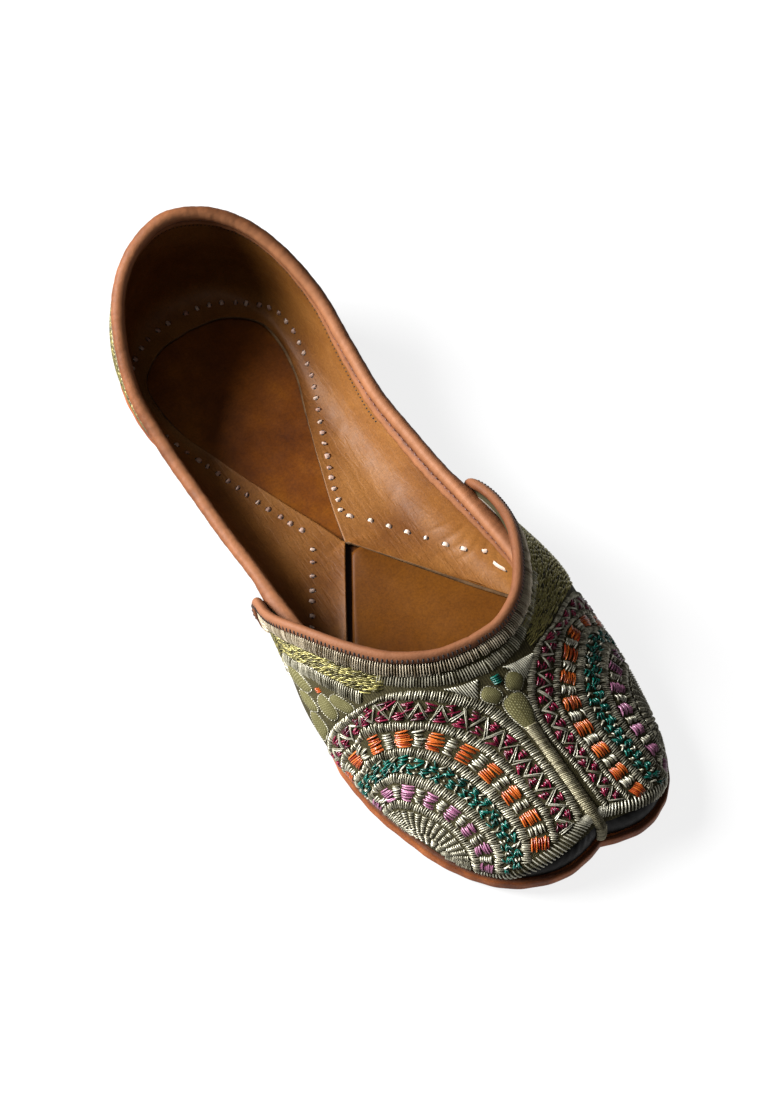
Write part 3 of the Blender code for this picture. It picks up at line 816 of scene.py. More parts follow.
# %% [markdown]
# ## The rolled bindings
# Both edges of the opening are bound with a strip of soft tan leather, rolled over and sewn down.
# A strip like that has one outline all the way along, so each binding is that outline swept along
# its edge. The topline's outline has a groove on the inside, where its seam is, and it is fuller
# beside the vamp's ears. Each row of an outline holds the distance outwards, the distance up, and
# how much the leather is rubbed pale there.

# %% Sweep the two bindings
TOPLINE_PROFILE = np.array((
    (-0.80, -6.0, 0.1), (-1.25, -5.9, 0.2), (-1.62, -5.3, 0.55), (-1.75, -4.4, 0.8), (-1.65, -3.5, 0.5),
    (-1.35, -2.85, 0.0), (-1.10, -2.55, 0.0), (-1.45, -2.2, 0.0), (-1.95, -1.4, 0.3), (-2.25, -0.4, 0.6),
    (-2.15, 0.6, 0.8), (-1.70, 1.4, 0.9), (-0.95, 1.95, 0.7), (0.0, 2.2, 0.45), (0.95, 1.95, 0.25),
    (1.70, 1.4, 0.1), (2.15, 0.6, 0.0), (2.25, -0.4, 0.0), (2.10, -1.4, 0.0), (1.90, -2.4, 0.0),
    (1.75, -3.4, 0.0), (1.60, -4.1, 0.0), (1.30, -4.35, 0.0), (0.40, -4.2, 0.0), (-0.30, -5.2, 0.0)))
THROAT_PROFILE = np.array((
    (-0.90, -2.6, 0.0), (-1.35, -1.9, 0.0), (-1.60, -1.1, 0.0), (-1.60, -0.3, 0.1), (-1.35, 0.4, 0.2),
    (-0.90, 0.95, 0.35), (-0.25, 1.25, 0.6), (0.45, 1.2, 0.9), (1.05, 0.85, 0.9), (1.50, 0.3, 0.8),
    (1.75, -0.3, 0.7), (1.85, -0.8, 0.6), (1.85, -1.2, 0.5), (1.78, -1.7, 0.5), (1.55, -2.1, 0.2),
    (1.15, -2.25, 0.0), (0.20, -2.4, 0.0)))


def throat_frame(share):
    """The throat binding's middle on the straight last, and the directions out and off the cloth's edge."""
    edge = vamp_place(VAMP_END, share)
    along = unit(through(THROAT, np.minimum(share + 0.01, 1)) - through(THROAT, share - 0.01))
    along = np.where((share > 0.999)[..., None], (-1.0, 0, 0), along)
    off_edge = unit(edge - vamp_place(VAMP_END - 2, share)) + UP
    off_edge = unit(off_edge - along * np.sum(off_edge * along, axis=-1, keepdims=True))
    inward = np.cross(along, off_edge)
    facing = np.sum(inward * point(-edge[..., 0], 0, -20), axis=-1, keepdims=True)
    inward = inward * np.where(facing > 0, 1, -1)
    lean = np.clip((share - 0.45) / 0.25, -0.6, 1)[..., None]
    middle = edge + (BINDING_RADIUS + 0.2) * off_edge + lean * WALL / 2 * inward
    return middle, -inward, off_edge


def swept(middle, outward, upward, profile, swell):
    """Outlines of a binding along its edge, a little fuller and thinner by turns."""
    outline = profile[:, :1] * outward[:, None] + profile[:, 1:2] * upward[:, None]
    return middle[:, None] + (1 + swell)[:, None, None] * outline


def binding(name, node, rings, profile, look):
    """A rolled binding, in place of its CAD node, rubbed pale where its outline says so."""
    tone_and_shade_amount = np.broadcast_to(profile[:, 2], rings.shape[:2])
    mesh = loft(node, rings, {"edge_tone_and_shade": 0.75 * tone_and_shade_amount})
    new_piece(name, mesh, [look], [node])


BINDING_LOOK = leather("binding_leather", (92, 48, 22), (122, 70, 37), (144, 87, 50), grain=650,
                       blotch=140, gloss=0.6, shine=0.16, depth=0.00014, edge_tone_and_shade=(180, 122, 84))
# the throat's binding is the same tan leather with a finer grain, its colours made darker than the
# topline's as painted shade
THROAT_LOOK_PAINTED_SHADE = leather("throat_leather", (82, 42, 20), (108, 61, 33), (128, 76, 44), grain=1300,
                      blotch=140, gloss=0.6, shine=0.14, depth=0.00014, edge_tone_and_shade=(158, 105, 72))
topline_feet = np.linspace(ARM_FOOT + 0.5, HEEL_FOOT, 230)
topline_swell = 0.02 * np.sin(topline_feet * 0.9) + 0.015 * np.sin(topline_feet * 2.3 + 1)
middle, climb, across = topline_frame(topline_feet)[:3]
bulge = 0.75 * soft_step((topline_feet - 114) / 8) * soft_step((160 - topline_feet) / 16)
outer_side = np.maximum(TOPLINE_PROFILE[:, 0], 0)
topline_half = swept(middle, across, climb, TOPLINE_PROFILE, topline_swell)
topline_rings = both_sides(topline_half + (bulge[:, None] * outer_side)[..., None] * across[:, None])
binding("topline_roll", "topline_binding", topline_rings, TOPLINE_PROFILE, BINDING_LOOK)

throat_shares = np.linspace(0.14, 1.0, 190)
throat_swell = 0.012 * np.sin(throat_shares * 130) + 0.01 * np.sin(throat_shares * 47)
throat_rings = both_sides(swept(*throat_frame(throat_shares), THROAT_PROFILE, throat_swell))
binding("throat_roll", "throat_binding", throat_rings, THROAT_PROFILE, THROAT_LOOK_PAINTED_SHADE)

# %% [markdown]
# ## One stitch, many times
# Nearly everything on the outside is sewn: thousands of short threads, each a small arch that
# dips into the cloth at both ends. A Geometry Nodes tree makes one such arch and sets it on points.
# Every point carries the thread's direction, the direction out of the cloth, a size and a shade.
# Python then only has to say where each stitch begins and ends.

# %% Build the stitch tree
STITCH_ARCH = 0.85


def stitch_tree():
    """A tree that sets an arched thread on every point of a mesh."""
    tree = bpy.data.node_groups.new("Stitches", "GeometryNodeTree")
    face = tree.interface
    face.new_socket("Points", in_out="INPUT", socket_type="NodeSocketGeometry")
    face.new_socket("Arch", in_out="INPUT", socket_type="NodeSocketFloat").default_value = STITCH_ARCH
    face.new_socket("Sides", in_out="INPUT", socket_type="NodeSocketInt").default_value = 4
    face.new_socket("Look", in_out="INPUT", socket_type="NodeSocketMaterial")
    face.new_socket("Geometry", in_out="OUTPUT", socket_type="NodeSocketGeometry")
    given = add_node(tree, "NodeGroupInput").outputs
    line = add_node(tree, "GeometryNodeCurvePrimitiveLine", {"Start": (-0.5, 0, 0), "End": (0.5, 0, 0)})
    cut = add_node(tree, "GeometryNodeResampleCurve", {"Curve": line.outputs["Curve"], "Count": 5})
    ring = add_node(tree, "GeometryNodeCurvePrimitiveCircle", {"Resolution": given["Sides"], "Radius": 0.5})
    tube = add_node(tree, "GeometryNodeCurveToMesh",
                    {"Curve": cut.outputs["Curve"], "Profile Curve": ring.outputs["Curve"],
                     "Fill Caps": True})
    spot = add_node(tree, "GeometryNodeInputPosition").outputs["Position"]
    x = add_node(tree, "ShaderNodeSeparateXYZ", {0: spot}).outputs["X"]
    dip = maths(tree, "MULTIPLY_ADD", maths(tree, "MULTIPLY", x, x), -4.0, 0.5)
    rise = maths(tree, "MULTIPLY", dip, given["Arch"])
    lift = add_node(tree, "ShaderNodeCombineXYZ", {"Z": rise}).outputs[0]
    arch = add_node(tree, "GeometryNodeSetPosition", {"Geometry": tube.outputs["Mesh"], "Offset": lift})
    smooth = add_node(tree, "GeometryNodeSetShadeSmooth", {"Geometry": arch.outputs["Geometry"]})
    known = {}
    for key in ("along", "away", "size"):
        found = add_node(tree, "GeometryNodeInputNamedAttribute", {"Name": key}, data_type="FLOAT_VECTOR")
        known[key] = found.outputs["Attribute"]
    turn = add_node(tree, "FunctionNodeAxesToRotation",
                    {"Primary Axis": known["away"], "Secondary Axis": known["along"]},
                    primary_axis="Z", secondary_axis="X")
    placed = add_node(tree, "GeometryNodeInstanceOnPoints",
                      {"Points": given["Points"], "Instance": smooth.outputs["Geometry"],
                       "Rotation": turn.outputs["Rotation"], "Scale": known["size"]})
    real = add_node(tree, "GeometryNodeRealizeInstances", {"Geometry": placed.outputs["Instances"]})
    dyed = add_node(tree, "GeometryNodeSetMaterial",
                    {"Geometry": real.outputs["Geometry"], "Material": given["Look"]})
    add_node(tree, "NodeGroupOutput", {"Geometry": dyed.outputs["Geometry"]})
    return tree


STITCHES = stitch_tree()
print("stitch tree:", len(STITCHES.nodes), "nodes")


# %% Collect stitches, then sew them
CHANCE = np.random.default_rng(7)
SEWN = {}


def sew(kind, start, end, away, width, height, shade):
    """Keep stitches of one thread, from start to end in metres, until they are all sewn."""
    start = start.reshape(-1, 3)
    sizes = [np.broadcast_to(np.ravel(each), len(start)) for each in (width, height, shade)]
    rows = np.column_stack([start, end.reshape(-1, 3), away.reshape(-1, 3), *sizes])
    SEWN.setdefault(kind, []).append(rows)


def kept_counts():
    """How many stitches of each thread are kept so far."""
    return {kind: sum(len(rows) for rows in kept) for kind, kept in SEWN.items()}


def sew_piece(name, kind, look, sides):
    """One piece with all the stitches kept for a thread."""
    rows = np.concatenate(SEWN.pop(kind))
    start, end, away = rows[:, 0:3], rows[:, 3:6], rows[:, 6:9]
    length = np.linalg.norm(end - start, axis=1)
    size = np.stack([length, rows[:, 9] * MM, rows[:, 10] * MM], axis=-1)
    points = bpy.data.meshes.new(name + "_points")
    points.from_pydata(((start + end) / 2).tolist(), [], [])
    for key, vectors in (("along", unit(end - start)), ("away", away), ("size", size)):
        points.attributes.new(key, "FLOAT_VECTOR", "POINT").data.foreach_set("vector", vectors.ravel())
    points.attributes.new("shade", "FLOAT", "POINT").data.foreach_set("value", rows[:, 11])
    holder = bpy.data.objects.new(name + "_points", points)
    bpy.context.scene.collection.objects.link(holder)
    nodes_on = holder.modifiers.new("Stitches", "NODES")
    nodes_on.node_group = STITCHES
    inputs = {}
    for item in STITCHES.interface.items_tree:
        if item.in_out == "INPUT":
            inputs[item.name] = item.identifier
    nodes_on[inputs["Arch"]] = STITCH_ARCH
    nodes_on[inputs["Sides"]] = sides
    nodes_on[inputs["Look"]] = look
    holder.update_tag()
    evaluated = holder.evaluated_get(bpy.context.evaluated_depsgraph_get())
    mesh = bpy.data.meshes.new_from_object(evaluated)
    bpy.data.objects.remove(holder)
    mesh.name = name
    print(f"{name}: {len(rows)} stitches")
    new_piece(name, mesh, [look])


def shades(count, middle=0.5, spread=0.3):
    """Chance shades, one for each stitch."""
    return np.clip(CHANCE.normal(middle, spread, count), 0, 1)


def chart(foot, share):
    """Foot and share side by side."""
    return np.stack(np.broadcast_arrays(foot, share), axis=-1)


def vamp_at(places):
    """The vamp's outer face at places given by foot and share."""
    return vamp_place(places[..., 0], places[..., 1])


def above_hem(places):
    """How high places given by foot and share lie above the cloth's lower edge."""
    return vamp_at(places)[..., 2] - SOLE_TOP - vamp_hem(places[..., 0])


def sew_vamp(kind, side, start, end, width, height, shade, lift=0.12):
    """Stitches on the vamp between places given by foot and share."""
    middle = (start + end) / 2
    kept = above_hem(middle) > 0.2
    start, end, middle = start[kept], end[kept], middle[kept]
    width, height, shade = (np.broadcast_to(each, kept.shape)[kept] for each in (width, height, shade))
    _, away = vamp_frame(side, middle[..., 0], middle[..., 1])
    begin = vamp_frame(side, start[..., 0], start[..., 1])[0] + lift * MM * away
    finish = vamp_frame(side, end[..., 0], end[..., 1])[0] + lift * MM * away
    sew(kind, begin, finish, away, width, height, shade)


print("sewing helpers ready")

# %% [markdown]
# ## Charts for the embroidery
# An embroiderer draws the pattern on the cloth first. Each half of the vamp has one big motif:
# arches within arches that stand on the sole. We draw its outer arch in foot and share, and
# reach any place in it by turn (round the arch) and ring (0 in the middle, 1 at the outer arch).
# The right motif is a little smaller behind, as it is on this hand-made shoe.

# %% Draw the motif chart
# turn round the arch, then foot and share of the outer arch
TOE_CORNER = ((0.88, 9, 0.55), (0.94, 8.5, 0.25), (1.0, 9, 0.0))
OUTER_LEFT = np.array((
    (0.0, 102.5, 0.0), (0.05, 103.6, 0.136), (0.10, 105.8, 0.264), (0.14, 110, 0.359), (0.19, 115.5, 0.49),
    (0.235, 121.5, 0.603), (0.27, 126.2, 0.665), (0.305, 128.8, 0.73), (0.345, 128.6, 0.776),
    (0.385, 126, 0.828), (0.42, 121.5, 0.865), (0.462, 115.4, 0.898), (0.516, 102.5, 0.938),
    (0.567, 88.8, 0.956), (0.613, 75.6, 0.962), (0.675, 57, 0.965), (0.732, 39, 0.962),
    (0.794, 22, 0.94), (0.835, 12, 0.85), *TOE_CORNER))
OUTER_RIGHT = np.array((
    (0.0, 105, 0.0), (0.09, 105, 0.24), (0.16, 110, 0.4), (0.24, 116, 0.562), (0.29, 117.6, 0.665),
    (0.335, 120, 0.748), (0.375, 119.3, 0.81), (0.41, 114, 0.87), (0.455, 107, 0.904), (0.51, 98.5, 0.938),
    (0.567, 88, 0.957), (0.613, 75.6, 0.96), (0.675, 57, 0.95), (0.732, 39, 0.922),
    (0.794, 22, 0.88), (0.835, 12, 0.79), *TOE_CORNER))
# turn round the arch, then how far out the inner rings lie there, 1 being even
PULL_LEFT = np.array(((0, 1), (0.12, 0.99), (0.22, 0.88), (0.31, 0.8), (0.36, 0.81), (0.41, 0.85),
                      (0.46, 0.925), (0.51, 0.97), (0.58, 1), (1, 1)))
PULL_RIGHT = np.array(((0, 1), (0.43, 0.98), (0.5, 1.03), (0.56, 1.07), (0.65, 1.08), (0.75, 1.08),
                       (1, 1.04)))
CHART_TURNS = np.linspace(0, 1, 241)
CHART_RINGS = np.linspace(0, 1, 61)


def motif_chart(outline, pull):
    """Foot and share for every turn and ring of a motif."""
    outer = through(outline, CHART_TURNS)
    inner = np.stack([58.5 + 5 * np.cos(np.pi * CHART_TURNS), 0 * CHART_TURNS], axis=-1)
    rays = inner[:, None] + CHART_RINGS[:, None] * (outer - inner)[:, None]
    far = distances(vamp_at(rays))
    pulled = 1 - np.interp(CHART_TURNS, pull[:, 0], pull[:, 1])[:, None]
    rings = CHART_RINGS * (1 - pulled * np.minimum((1 - CHART_RINGS) / 0.3, 1))
    even = np.array([np.interp(ring, row / row[-1], CHART_RINGS) for ring, row in zip(rings, far)])
    return inner[:, None] + even[..., None] * (outer - inner)[:, None]


CHARTS = {-1: motif_chart(OUTER_LEFT, PULL_LEFT), 1: motif_chart(OUTER_RIGHT, PULL_RIGHT)}


def read_grid(grid, column, row):
    """Values of a grid at places between its columns and rows."""
    left = np.minimum(column.astype(int), grid.shape[0] - 2)
    below = np.minimum(row.astype(int), grid.shape[1] - 2)
    x = (column - left)[..., None]
    y = (row - below)[..., None]
    near = (1 - x) * grid[left, below] + x * grid[left + 1, below]
    far = (1 - x) * grid[left, below + 1] + x * grid[left + 1, below + 1]
    return (1 - y) * near + y * far


def in_motif(side, turn, ring):
    """Foot and share at a turn and ring."""
    turn, ring = np.broadcast_arrays(turn, ring)
    column = np.clip(turn, 0, 1) * (len(CHART_TURNS) - 1)
    row = np.clip(ring, 0, 1) * (len(CHART_RINGS) - 1)
    return read_grid(CHARTS[side], column, row)


def ring_turns(side, ring, pitch, first=0.5):
    """Turns at an even pitch along a ring, and the turn that one millimetre takes at each."""
    far = distances(vamp_at(in_motif(side, CHART_TURNS, ring)))
    count = int(round(far[-1] / pitch))
    wanted = (np.arange(count) + first) * far[-1] / count
    return np.interp(wanted, far, CHART_TURNS), np.interp(wanted, far, np.gradient(CHART_TURNS, far))


def square_across(side, turn, ring, other):
    """The turn at which another ring lies square across from this turn and ring."""
    def place(at_turn, at_ring):
        return vamp_at(in_motif(side, at_turn, at_ring))

    here = place(turn, ring)
    there = np.asarray(turn + 0.0 * np.asarray(other))
    for _ in range(3):
        run = (place(there + 0.003, other) - place(there - 0.003, other)) / 0.006
        gap = place(there, other) - here
        there = there - np.sum(gap * run, axis=-1) / np.maximum(np.sum(run * run, axis=-1), 1e-6)
    return np.clip(there, 0, 1)


def sew_motif(kind, side, start, end, width, height, shade, spread, lift=0.12):
    """Stitches of the motif, but for those under the satin border that follows the toe."""
    middle = (start + end) / 2
    kept = above_hem(middle) > np.interp(middle[..., 0], (0, 26, 36, 44), (3.6, 3.6, 2.4, 0.0))
    width = np.broadcast_to(width, kept.shape)[kept]
    sew_vamp(kind, side, start[kept], end[kept], width, height, shades(kept.sum(), shade, spread), lift)


print("motif charts:", CHARTS[1].shape)

# %% [markdown]
# ## The motif's rings
# From the middle outwards the motif has a fill of small columns, pink blocks, teal knots, orange
# blocks and ruby knots, each between two rings of silver satin stitch. A satin ring is radial
# stitches side by side. A block or a knot is a few short threads laid along the ring.

# %% Sew the satin rings and the blocks
SATIN_RINGS = ((0.26, 0.31), (0.41, 0.47), (0.58, 0.64), (0.76, 0.81), (0.94, 1.0))
SATIN_PITCH = 0.72
SATIN_WIDTH = 0.53
# thread, inner and outer ring, pitch, first place in pitches, breadth, rows, thread width, shade
BLOCKS = (
    ("orange", 0.645, 0.755, 8.8, 0.5, 4.3, 8, 0.62, 0.5),
    ("pale", 0.65, 0.75, 8.8, 1.0, 2.7, 7, 0.6, 0.6),
    ("pink", 0.315, 0.405, 7.6, 0.5, 3.4, 7, 0.6, 0.5),
    ("pale", 0.32, 0.40, 7.6, 1.0, 2.2, 6, 0.6, 0.6))


def satin_ring(side, inner, outer):
    """Radial stitches side by side."""
    middle = (inner + outer) / 2
    turns, mm = ring_turns(side, middle, SATIN_PITCH)
    count = len(turns)
    lean = mm * CHANCE.normal(0.22, 0.14, count)
    from_ring = inner + CHANCE.normal(0, 0.004, count)
    to_ring = outer + CHANCE.normal(0, 0.004, count)
    start = in_motif(side, square_across(side, turns, middle, from_ring) - lean, from_ring)
    end = in_motif(side, square_across(side, turns, middle, to_ring) + lean, to_ring)
    width = SATIN_WIDTH + CHANCE.normal(0, 0.06, count)
    sew_motif("silver", side, start, end, width, 0.75, 0.5, 0.38)


def blocks(side, kind, inner, outer, pitch, first, breadth, rows, width, shade):
    """Short threads along the ring, stacked into blocks."""
    middle_ring = (inner + outer) / 2
    turns, mm = ring_turns(side, middle_ring, pitch, first)
    rows = np.arange(rows) + 0.5
    ring = inner + (outer - inner) * rows / len(rows)
    half = breadth / 2 * mm[:, None] * (1 + CHANCE.normal(0, 0.09, (len(turns), len(rows))))
    slip = mm[:, None] * CHANCE.normal(0, 0.18, half.shape)
    middle = square_across(side, turns[:, None], middle_ring, ring + 0 * half) + slip
    start = in_motif(side, middle - half, ring + 0 * half)
    end = in_motif(side, middle + half, ring + CHANCE.normal(0, 0.007, half.shape))
    sew_motif(kind, side, start, end, width, 0.9, shade, 0.36, lift=0.2)


for side in (-1, 1):
    for inner, outer in SATIN_RINGS:
        satin_ring(side, inner, outer)
    for row in BLOCKS:
        blocks(side, *row)
print("stitches kept:", kept_counts())

# %% [markdown]
# ## Knots and the middle
# Ruby knots sit in the triangles of a silver zigzag, in two rows. Teal knots stand in two rows
# with small silver dots between them. The middle of the motif is filled with little columns.

# %% Sew the knots and the middle
ZIGZAG = (0.815, 0.935)
ZIGZAG_PITCH = 5.6
COLUMN_PITCH = 2.15
# thread, line they are counted on, pitch, first place in pitches, then ring, height in rings,
# breadth near the middle and further out, rows, tilt
KNOTS = (
    ("ruby", 0.875, 5.6, 0.5, 0.905, 0.042, 1.7, 2.7, 5, 0.5),
    ("ruby", 0.875, 5.6, 1.0, 0.846, 0.042, 2.7, 1.7, 5, 0.5),
    ("teal", 0.525, 4.6, 0.5, 0.55, 0.042, 2.2, 2.2, 5, 0.6),
    ("pale", 0.525, 4.6, 0.5, 0.495, 0.016, 1.4, 1.0, 2, 0.8),
    ("teal", 0.525, 4.6, 1.0, 0.502, 0.042, 2.2, 2.2, 5, 0.6),
    ("pale", 0.525, 4.6, 1.0, 0.56, 0.016, 1.2, 1.4, 2, 0.8))


def knots(side, kind, line, pitch, first, ring, tall, base, tip, rows, tilt):
    """Small heaps of threads, as broad as base near the middle and as tip further out."""
    turns, mm = ring_turns(side, line, pitch, first)
    step = np.linspace(-0.5, 0.5, rows)
    shape = (len(turns), rows)
    half = np.broadcast_to(np.interp(step, (-0.5, 0.5), (base, tip)) / 2, shape)
    half = half * (1 + CHANCE.normal(0, 0.14, shape))
    slip = CHANCE.normal(0, 0.15, shape)
    height = ring + tall * step + CHANCE.normal(0, 0.004, shape)
    slope = CHANCE.normal(0, tilt, shape) * 0.02
    middle = square_across(side, turns[:, None], line, height) + mm[:, None] * slip
    start = in_motif(side, middle - mm[:, None] * half, height - slope)
    end = in_motif(side, middle + mm[:, None] * half, height + slope)
    sew_motif(kind, side, start, end, 0.6, 0.95, 0.5, 0.4, lift=0.2)


def zigzag(side, inner, outer):
    """A loose silver zigzag of paired threads between two rings."""
    middle = (inner + outer) / 2
    turns, mm = ring_turns(side, middle, ZIGZAG_PITCH)
    for across, slide in ((0.5, -0.25), (0.5, 0.25), (-0.5, -0.25), (-0.5, 0.25)):
        shift = slide + CHANCE.normal(0, 0.22, (2, len(turns)))
        from_ring = inner + CHANCE.uniform(0, 0.022, len(turns))
        to_ring = outer - CHANCE.uniform(0, 0.022, len(turns))
        low = square_across(side, turns, middle, from_ring) + shift[0] * mm
        high = square_across(side, turns + across * ZIGZAG_PITCH * mm, middle, to_ring) + shift[1] * mm
        start = in_motif(side, low, from_ring)
        end = in_motif(side, high, to_ring)
        sew_motif("pale", side, start, end, 0.44, 0.75, 0.5, 0.42, lift=0.16)


def motif_middle(side):
    """Columns of short threads that fan out from the motif's base."""
    turns, mm = ring_turns(side, 0.22, COLUMN_PITCH)
    for ring in np.arange(0.07, 0.255, 0.0145):
        step = 1 if ring > 0.136 else 2
        chosen = slice(0, None, step)
        half = 0.40 * COLUMN_PITCH * step * mm[chosen]
        start = in_motif(side, turns[chosen] - half, ring + 0 * half)
        end = in_motif(side, turns[chosen] + half, ring + 0.004 + 0 * half)
        sew_vamp("silver", side, start, end, 0.55, 0.8, shades(len(half), 0.5))


for side in (-1, 1):
    zigzag(side, *ZIGZAG)
    for row in KNOTS:
        knots(side, *row)
    motif_middle(side)
print("stitches kept:", kept_counts())

# %% [markdown]
# ## Borders of the vamp
# A whip stitch joins the rolled binding to the cloth. Below it, the pattern differs: a grey satin
# band in the middle, and at each side a wedge of gold-green chain stitch. On the left another satin
# band lies below the wedge, and on the right the wedge reaches down to the motif. We measure down
# from the throat in millimetres, and find the foot that lies so far below it.

# %% Sew the borders under the throat
# share, then foot of the wedge's lower side, for the left and the right
WEDGE_LEFT = np.array(((0.10, 139), (0.18, 139.5), (0.28, 139.5), (0.386, 139), (0.442, 138),
                       (0.505, 134.2), (0.53, 132.4), (0.56, 129.8), (0.615, 126.4), (0.70, 131)))
WEDGE_RIGHT = np.array(((0.08, 107), (0.24, 107), (0.4, 112), (0.562, 117), (0.688, 119), (0.80, 121)))
STITCH_PITCH = 0.76
WHIP_LENGTH = 3.4
BAND_DROP = 4.6
BAND_BROAD = 4.3
LOW_BAND_BROAD = 3.5
# shades of the threads and the shares where bands end, on the left and on the right
# the right's whip and chain threads have higher shades: painted light where the lamp reaches less
WHIP_SHADE_WITH_PAINTED_LIGHT = {-1: 0.62, 1: 0.85}
CHAIN_SHADE_WITH_PAINTED_LIGHT = {-1: 0.34, 1: 0.95}
CHAIN_END = {-1: 0.72, 1: 0.80}
BAND_END = {-1: 0.70, 1: 0.60}
SHARE_STEPS = 100
DROP_STEP = 0.5
throat_feet = np.linspace(VAMP_END, 95, 65)
throat_far = distances(vamp_place(throat_feet, np.linspace(0, 1, SHARE_STEPS + 1)[:, None]))
throat_drops = np.arange(0, 36, DROP_STEP)
THROAT_FEET = np.array([np.interp(throat_drops, row, throat_feet) for row in throat_far])


def below_throat(share, drop):
    """The foot that lies this far below the cloth's edge."""
    share, drop = np.broadcast_arrays(np.asarray(share, float), np.asarray(drop, float))
    column = np.clip(share, 0, 0.9999) * SHARE_STEPS
    row = np.clip(drop, 0, 35.4) / DROP_STEP
    return read_grid(THROAT_FEET[..., None], column, row)[..., 0]


def wedge_foot(side, share):
    """The foot of the wedge's lower side."""
    rows = WEDGE_LEFT if side < 0 else WEDGE_RIGHT
    return np.interp(share, rows[:, 0], rows[:, 1])


def throat_foot(share):
    """The foot of the cloth's edge at the throat, which is the same all along."""
    return VAMP_END + 0 * share


def even_shares(foot_at, first, last, pitch):
    """Shares at an even pitch along a line of the vamp."""
    fine = np.linspace(first, last, 400)
    far = distances(vamp_place(foot_at(fine), fine))
    return np.interp(np.arange(pitch / 2, far[-1], pitch), far, fine)


def square_down(foot, share, drop, over_toe=False):
    """Foot and share of places this far below the points of a line on the vamp, square to the line."""
    here = vamp_place(foot, share)
    along = unit(np.gradient(here, axis=0))
    by_foot = vamp_place(foot + 0.5, share) - vamp_place(foot - 0.5, share)
    by_share = (vamp_place(foot, share + 0.002) - vamp_place(foot, share - 0.002)) / 0.004
    rise = by_share if over_toe else by_foot
    down = unit(along * np.sum(rise * along, axis=-1, keepdims=True) - rise)
    foot_foot = np.sum(by_foot**2, axis=-1)
    share_share = np.sum(by_share**2, axis=-1)
    foot_share = np.sum(by_foot * by_share, axis=-1)
    foot_down = np.sum(by_foot * down, axis=-1)
    share_down = np.sum(by_share * down, axis=-1)
    spread = foot_foot * share_share - foot_share**2
    more_foot = drop * (share_share * foot_down - foot_share * share_down) / spread
    more_share = drop * (foot_foot * share_down - foot_share * foot_down) / spread
    return chart(foot + more_foot, share + more_share)


def band_below(kind, side, share, upper, broad, shade=0.5):
    """Stitches across a band below a line given by its feet."""
    start = square_down(upper, share, CHANCE.normal(0, 0.12, len(share)))
    end = square_down(upper, share, broad + CHANCE.normal(0, 0.12, len(share)))
    sew_vamp(kind, side, start, end, 0.5, 0.7, shades(len(share), shade, 0.38), lift=0.14)


def whip(side):
    """Stitches from the rolled binding down to the cloth, and the needle slots in the binding as dark
    strips of painted shade.
    """
    share = even_shares(throat_foot, 1.0, 0.15, STITCH_PITCH)
    middle, outward, off_edge = throat_frame(share)
    top = on_last(middle + 1.84 * outward - 1.6 * off_edge, side)
    length = WHIP_LENGTH + CHANCE.normal(0, 0.16, len(share))
    below = square_down(throat_foot(share) - 0.6, share, length)
    end, away = vamp_frame(side, below[:, 0], below[:, 1])
    shade = shades(len(share), WHIP_SHADE_WITH_PAINTED_LIGHT[side], 0.4)
    sew("whip", top, end + 0.1 * MM * away, away, 0.44, 0.85, shade)
    # the slots are near-black strips: painted shade where the thread enters the binding
    slots = even_shares(throat_foot, 0.15, 0.997, 1.38)
    middle, outward, off_edge = throat_frame(slots)
    high = on_last(middle + 1.7 * outward - 0.05 * off_edge, side)
    low = on_last(middle + 1.86 * outward - 1.65 * off_edge, side)
    facing = on_last(middle + 3 * outward, side) - on_last(middle, side)
    sew("slot", high, low, unit(facing), 0.6, 0.35, 0.5)


def chain_rows(side):
    """Rows of gold chain stitch in the wedge below the whip stitch."""
    for row in range(36):
        drop = BAND_DROP + 0.86 * row
        share = even_shares(lambda s: below_throat(s, drop), 0.08, CHAIN_END[side], 2.0)
        share = share + CHANCE.uniform(0, 0.024) + CHANCE.normal(0, 0.003, len(share))
        foot = below_throat(share, drop)
        reach = 0.735 - 0.008 * row if side < 0 else CHAIN_END[side]
        inside = (foot > wedge_foot(side, share) + 0.4) & (share > 0.14) & (share < reach)
        slide = 0.0165 + CHANCE.normal(0, 0.003, len(share))
        rise = CHANCE.normal(0.10, 0.26, len(share))
        start = chart(foot - rise, share - slide)[inside]
        end = chart(foot + rise, share + slide)[inside]
        kind = "silver" if row < 2 else "gold"
        shade = shades(inside.sum(), CHAIN_SHADE_WITH_PAINTED_LIGHT[side], 0.48)
        sew_vamp(kind, side, start, end, 0.42, 0.6, shade, lift=0.16)


for side in (-1, 1):
    whip(side)
    share = even_shares(lambda s: below_throat(s, 7), 1.0, BAND_END[side], STITCH_PITCH)
    band_below("silver", side, share, below_throat(share, BAND_DROP), BAND_BROAD)
    chain_rows(side)
share = even_shares(lambda s: wedge_foot(-1, s), 0.13, 0.60, STITCH_PITCH)
band_below("silver", -1, share, wedge_foot(-1, share), LOW_BAND_BROAD, shade=0.34)
print("stitches kept:", kept_counts())

# %% [markdown]
# ## The toe's satin border
# Above the black leather, one more satin border follows the toe. It hides where the motif is cut
# off, and it tapers out on the sides where the cloth reaches the sole.

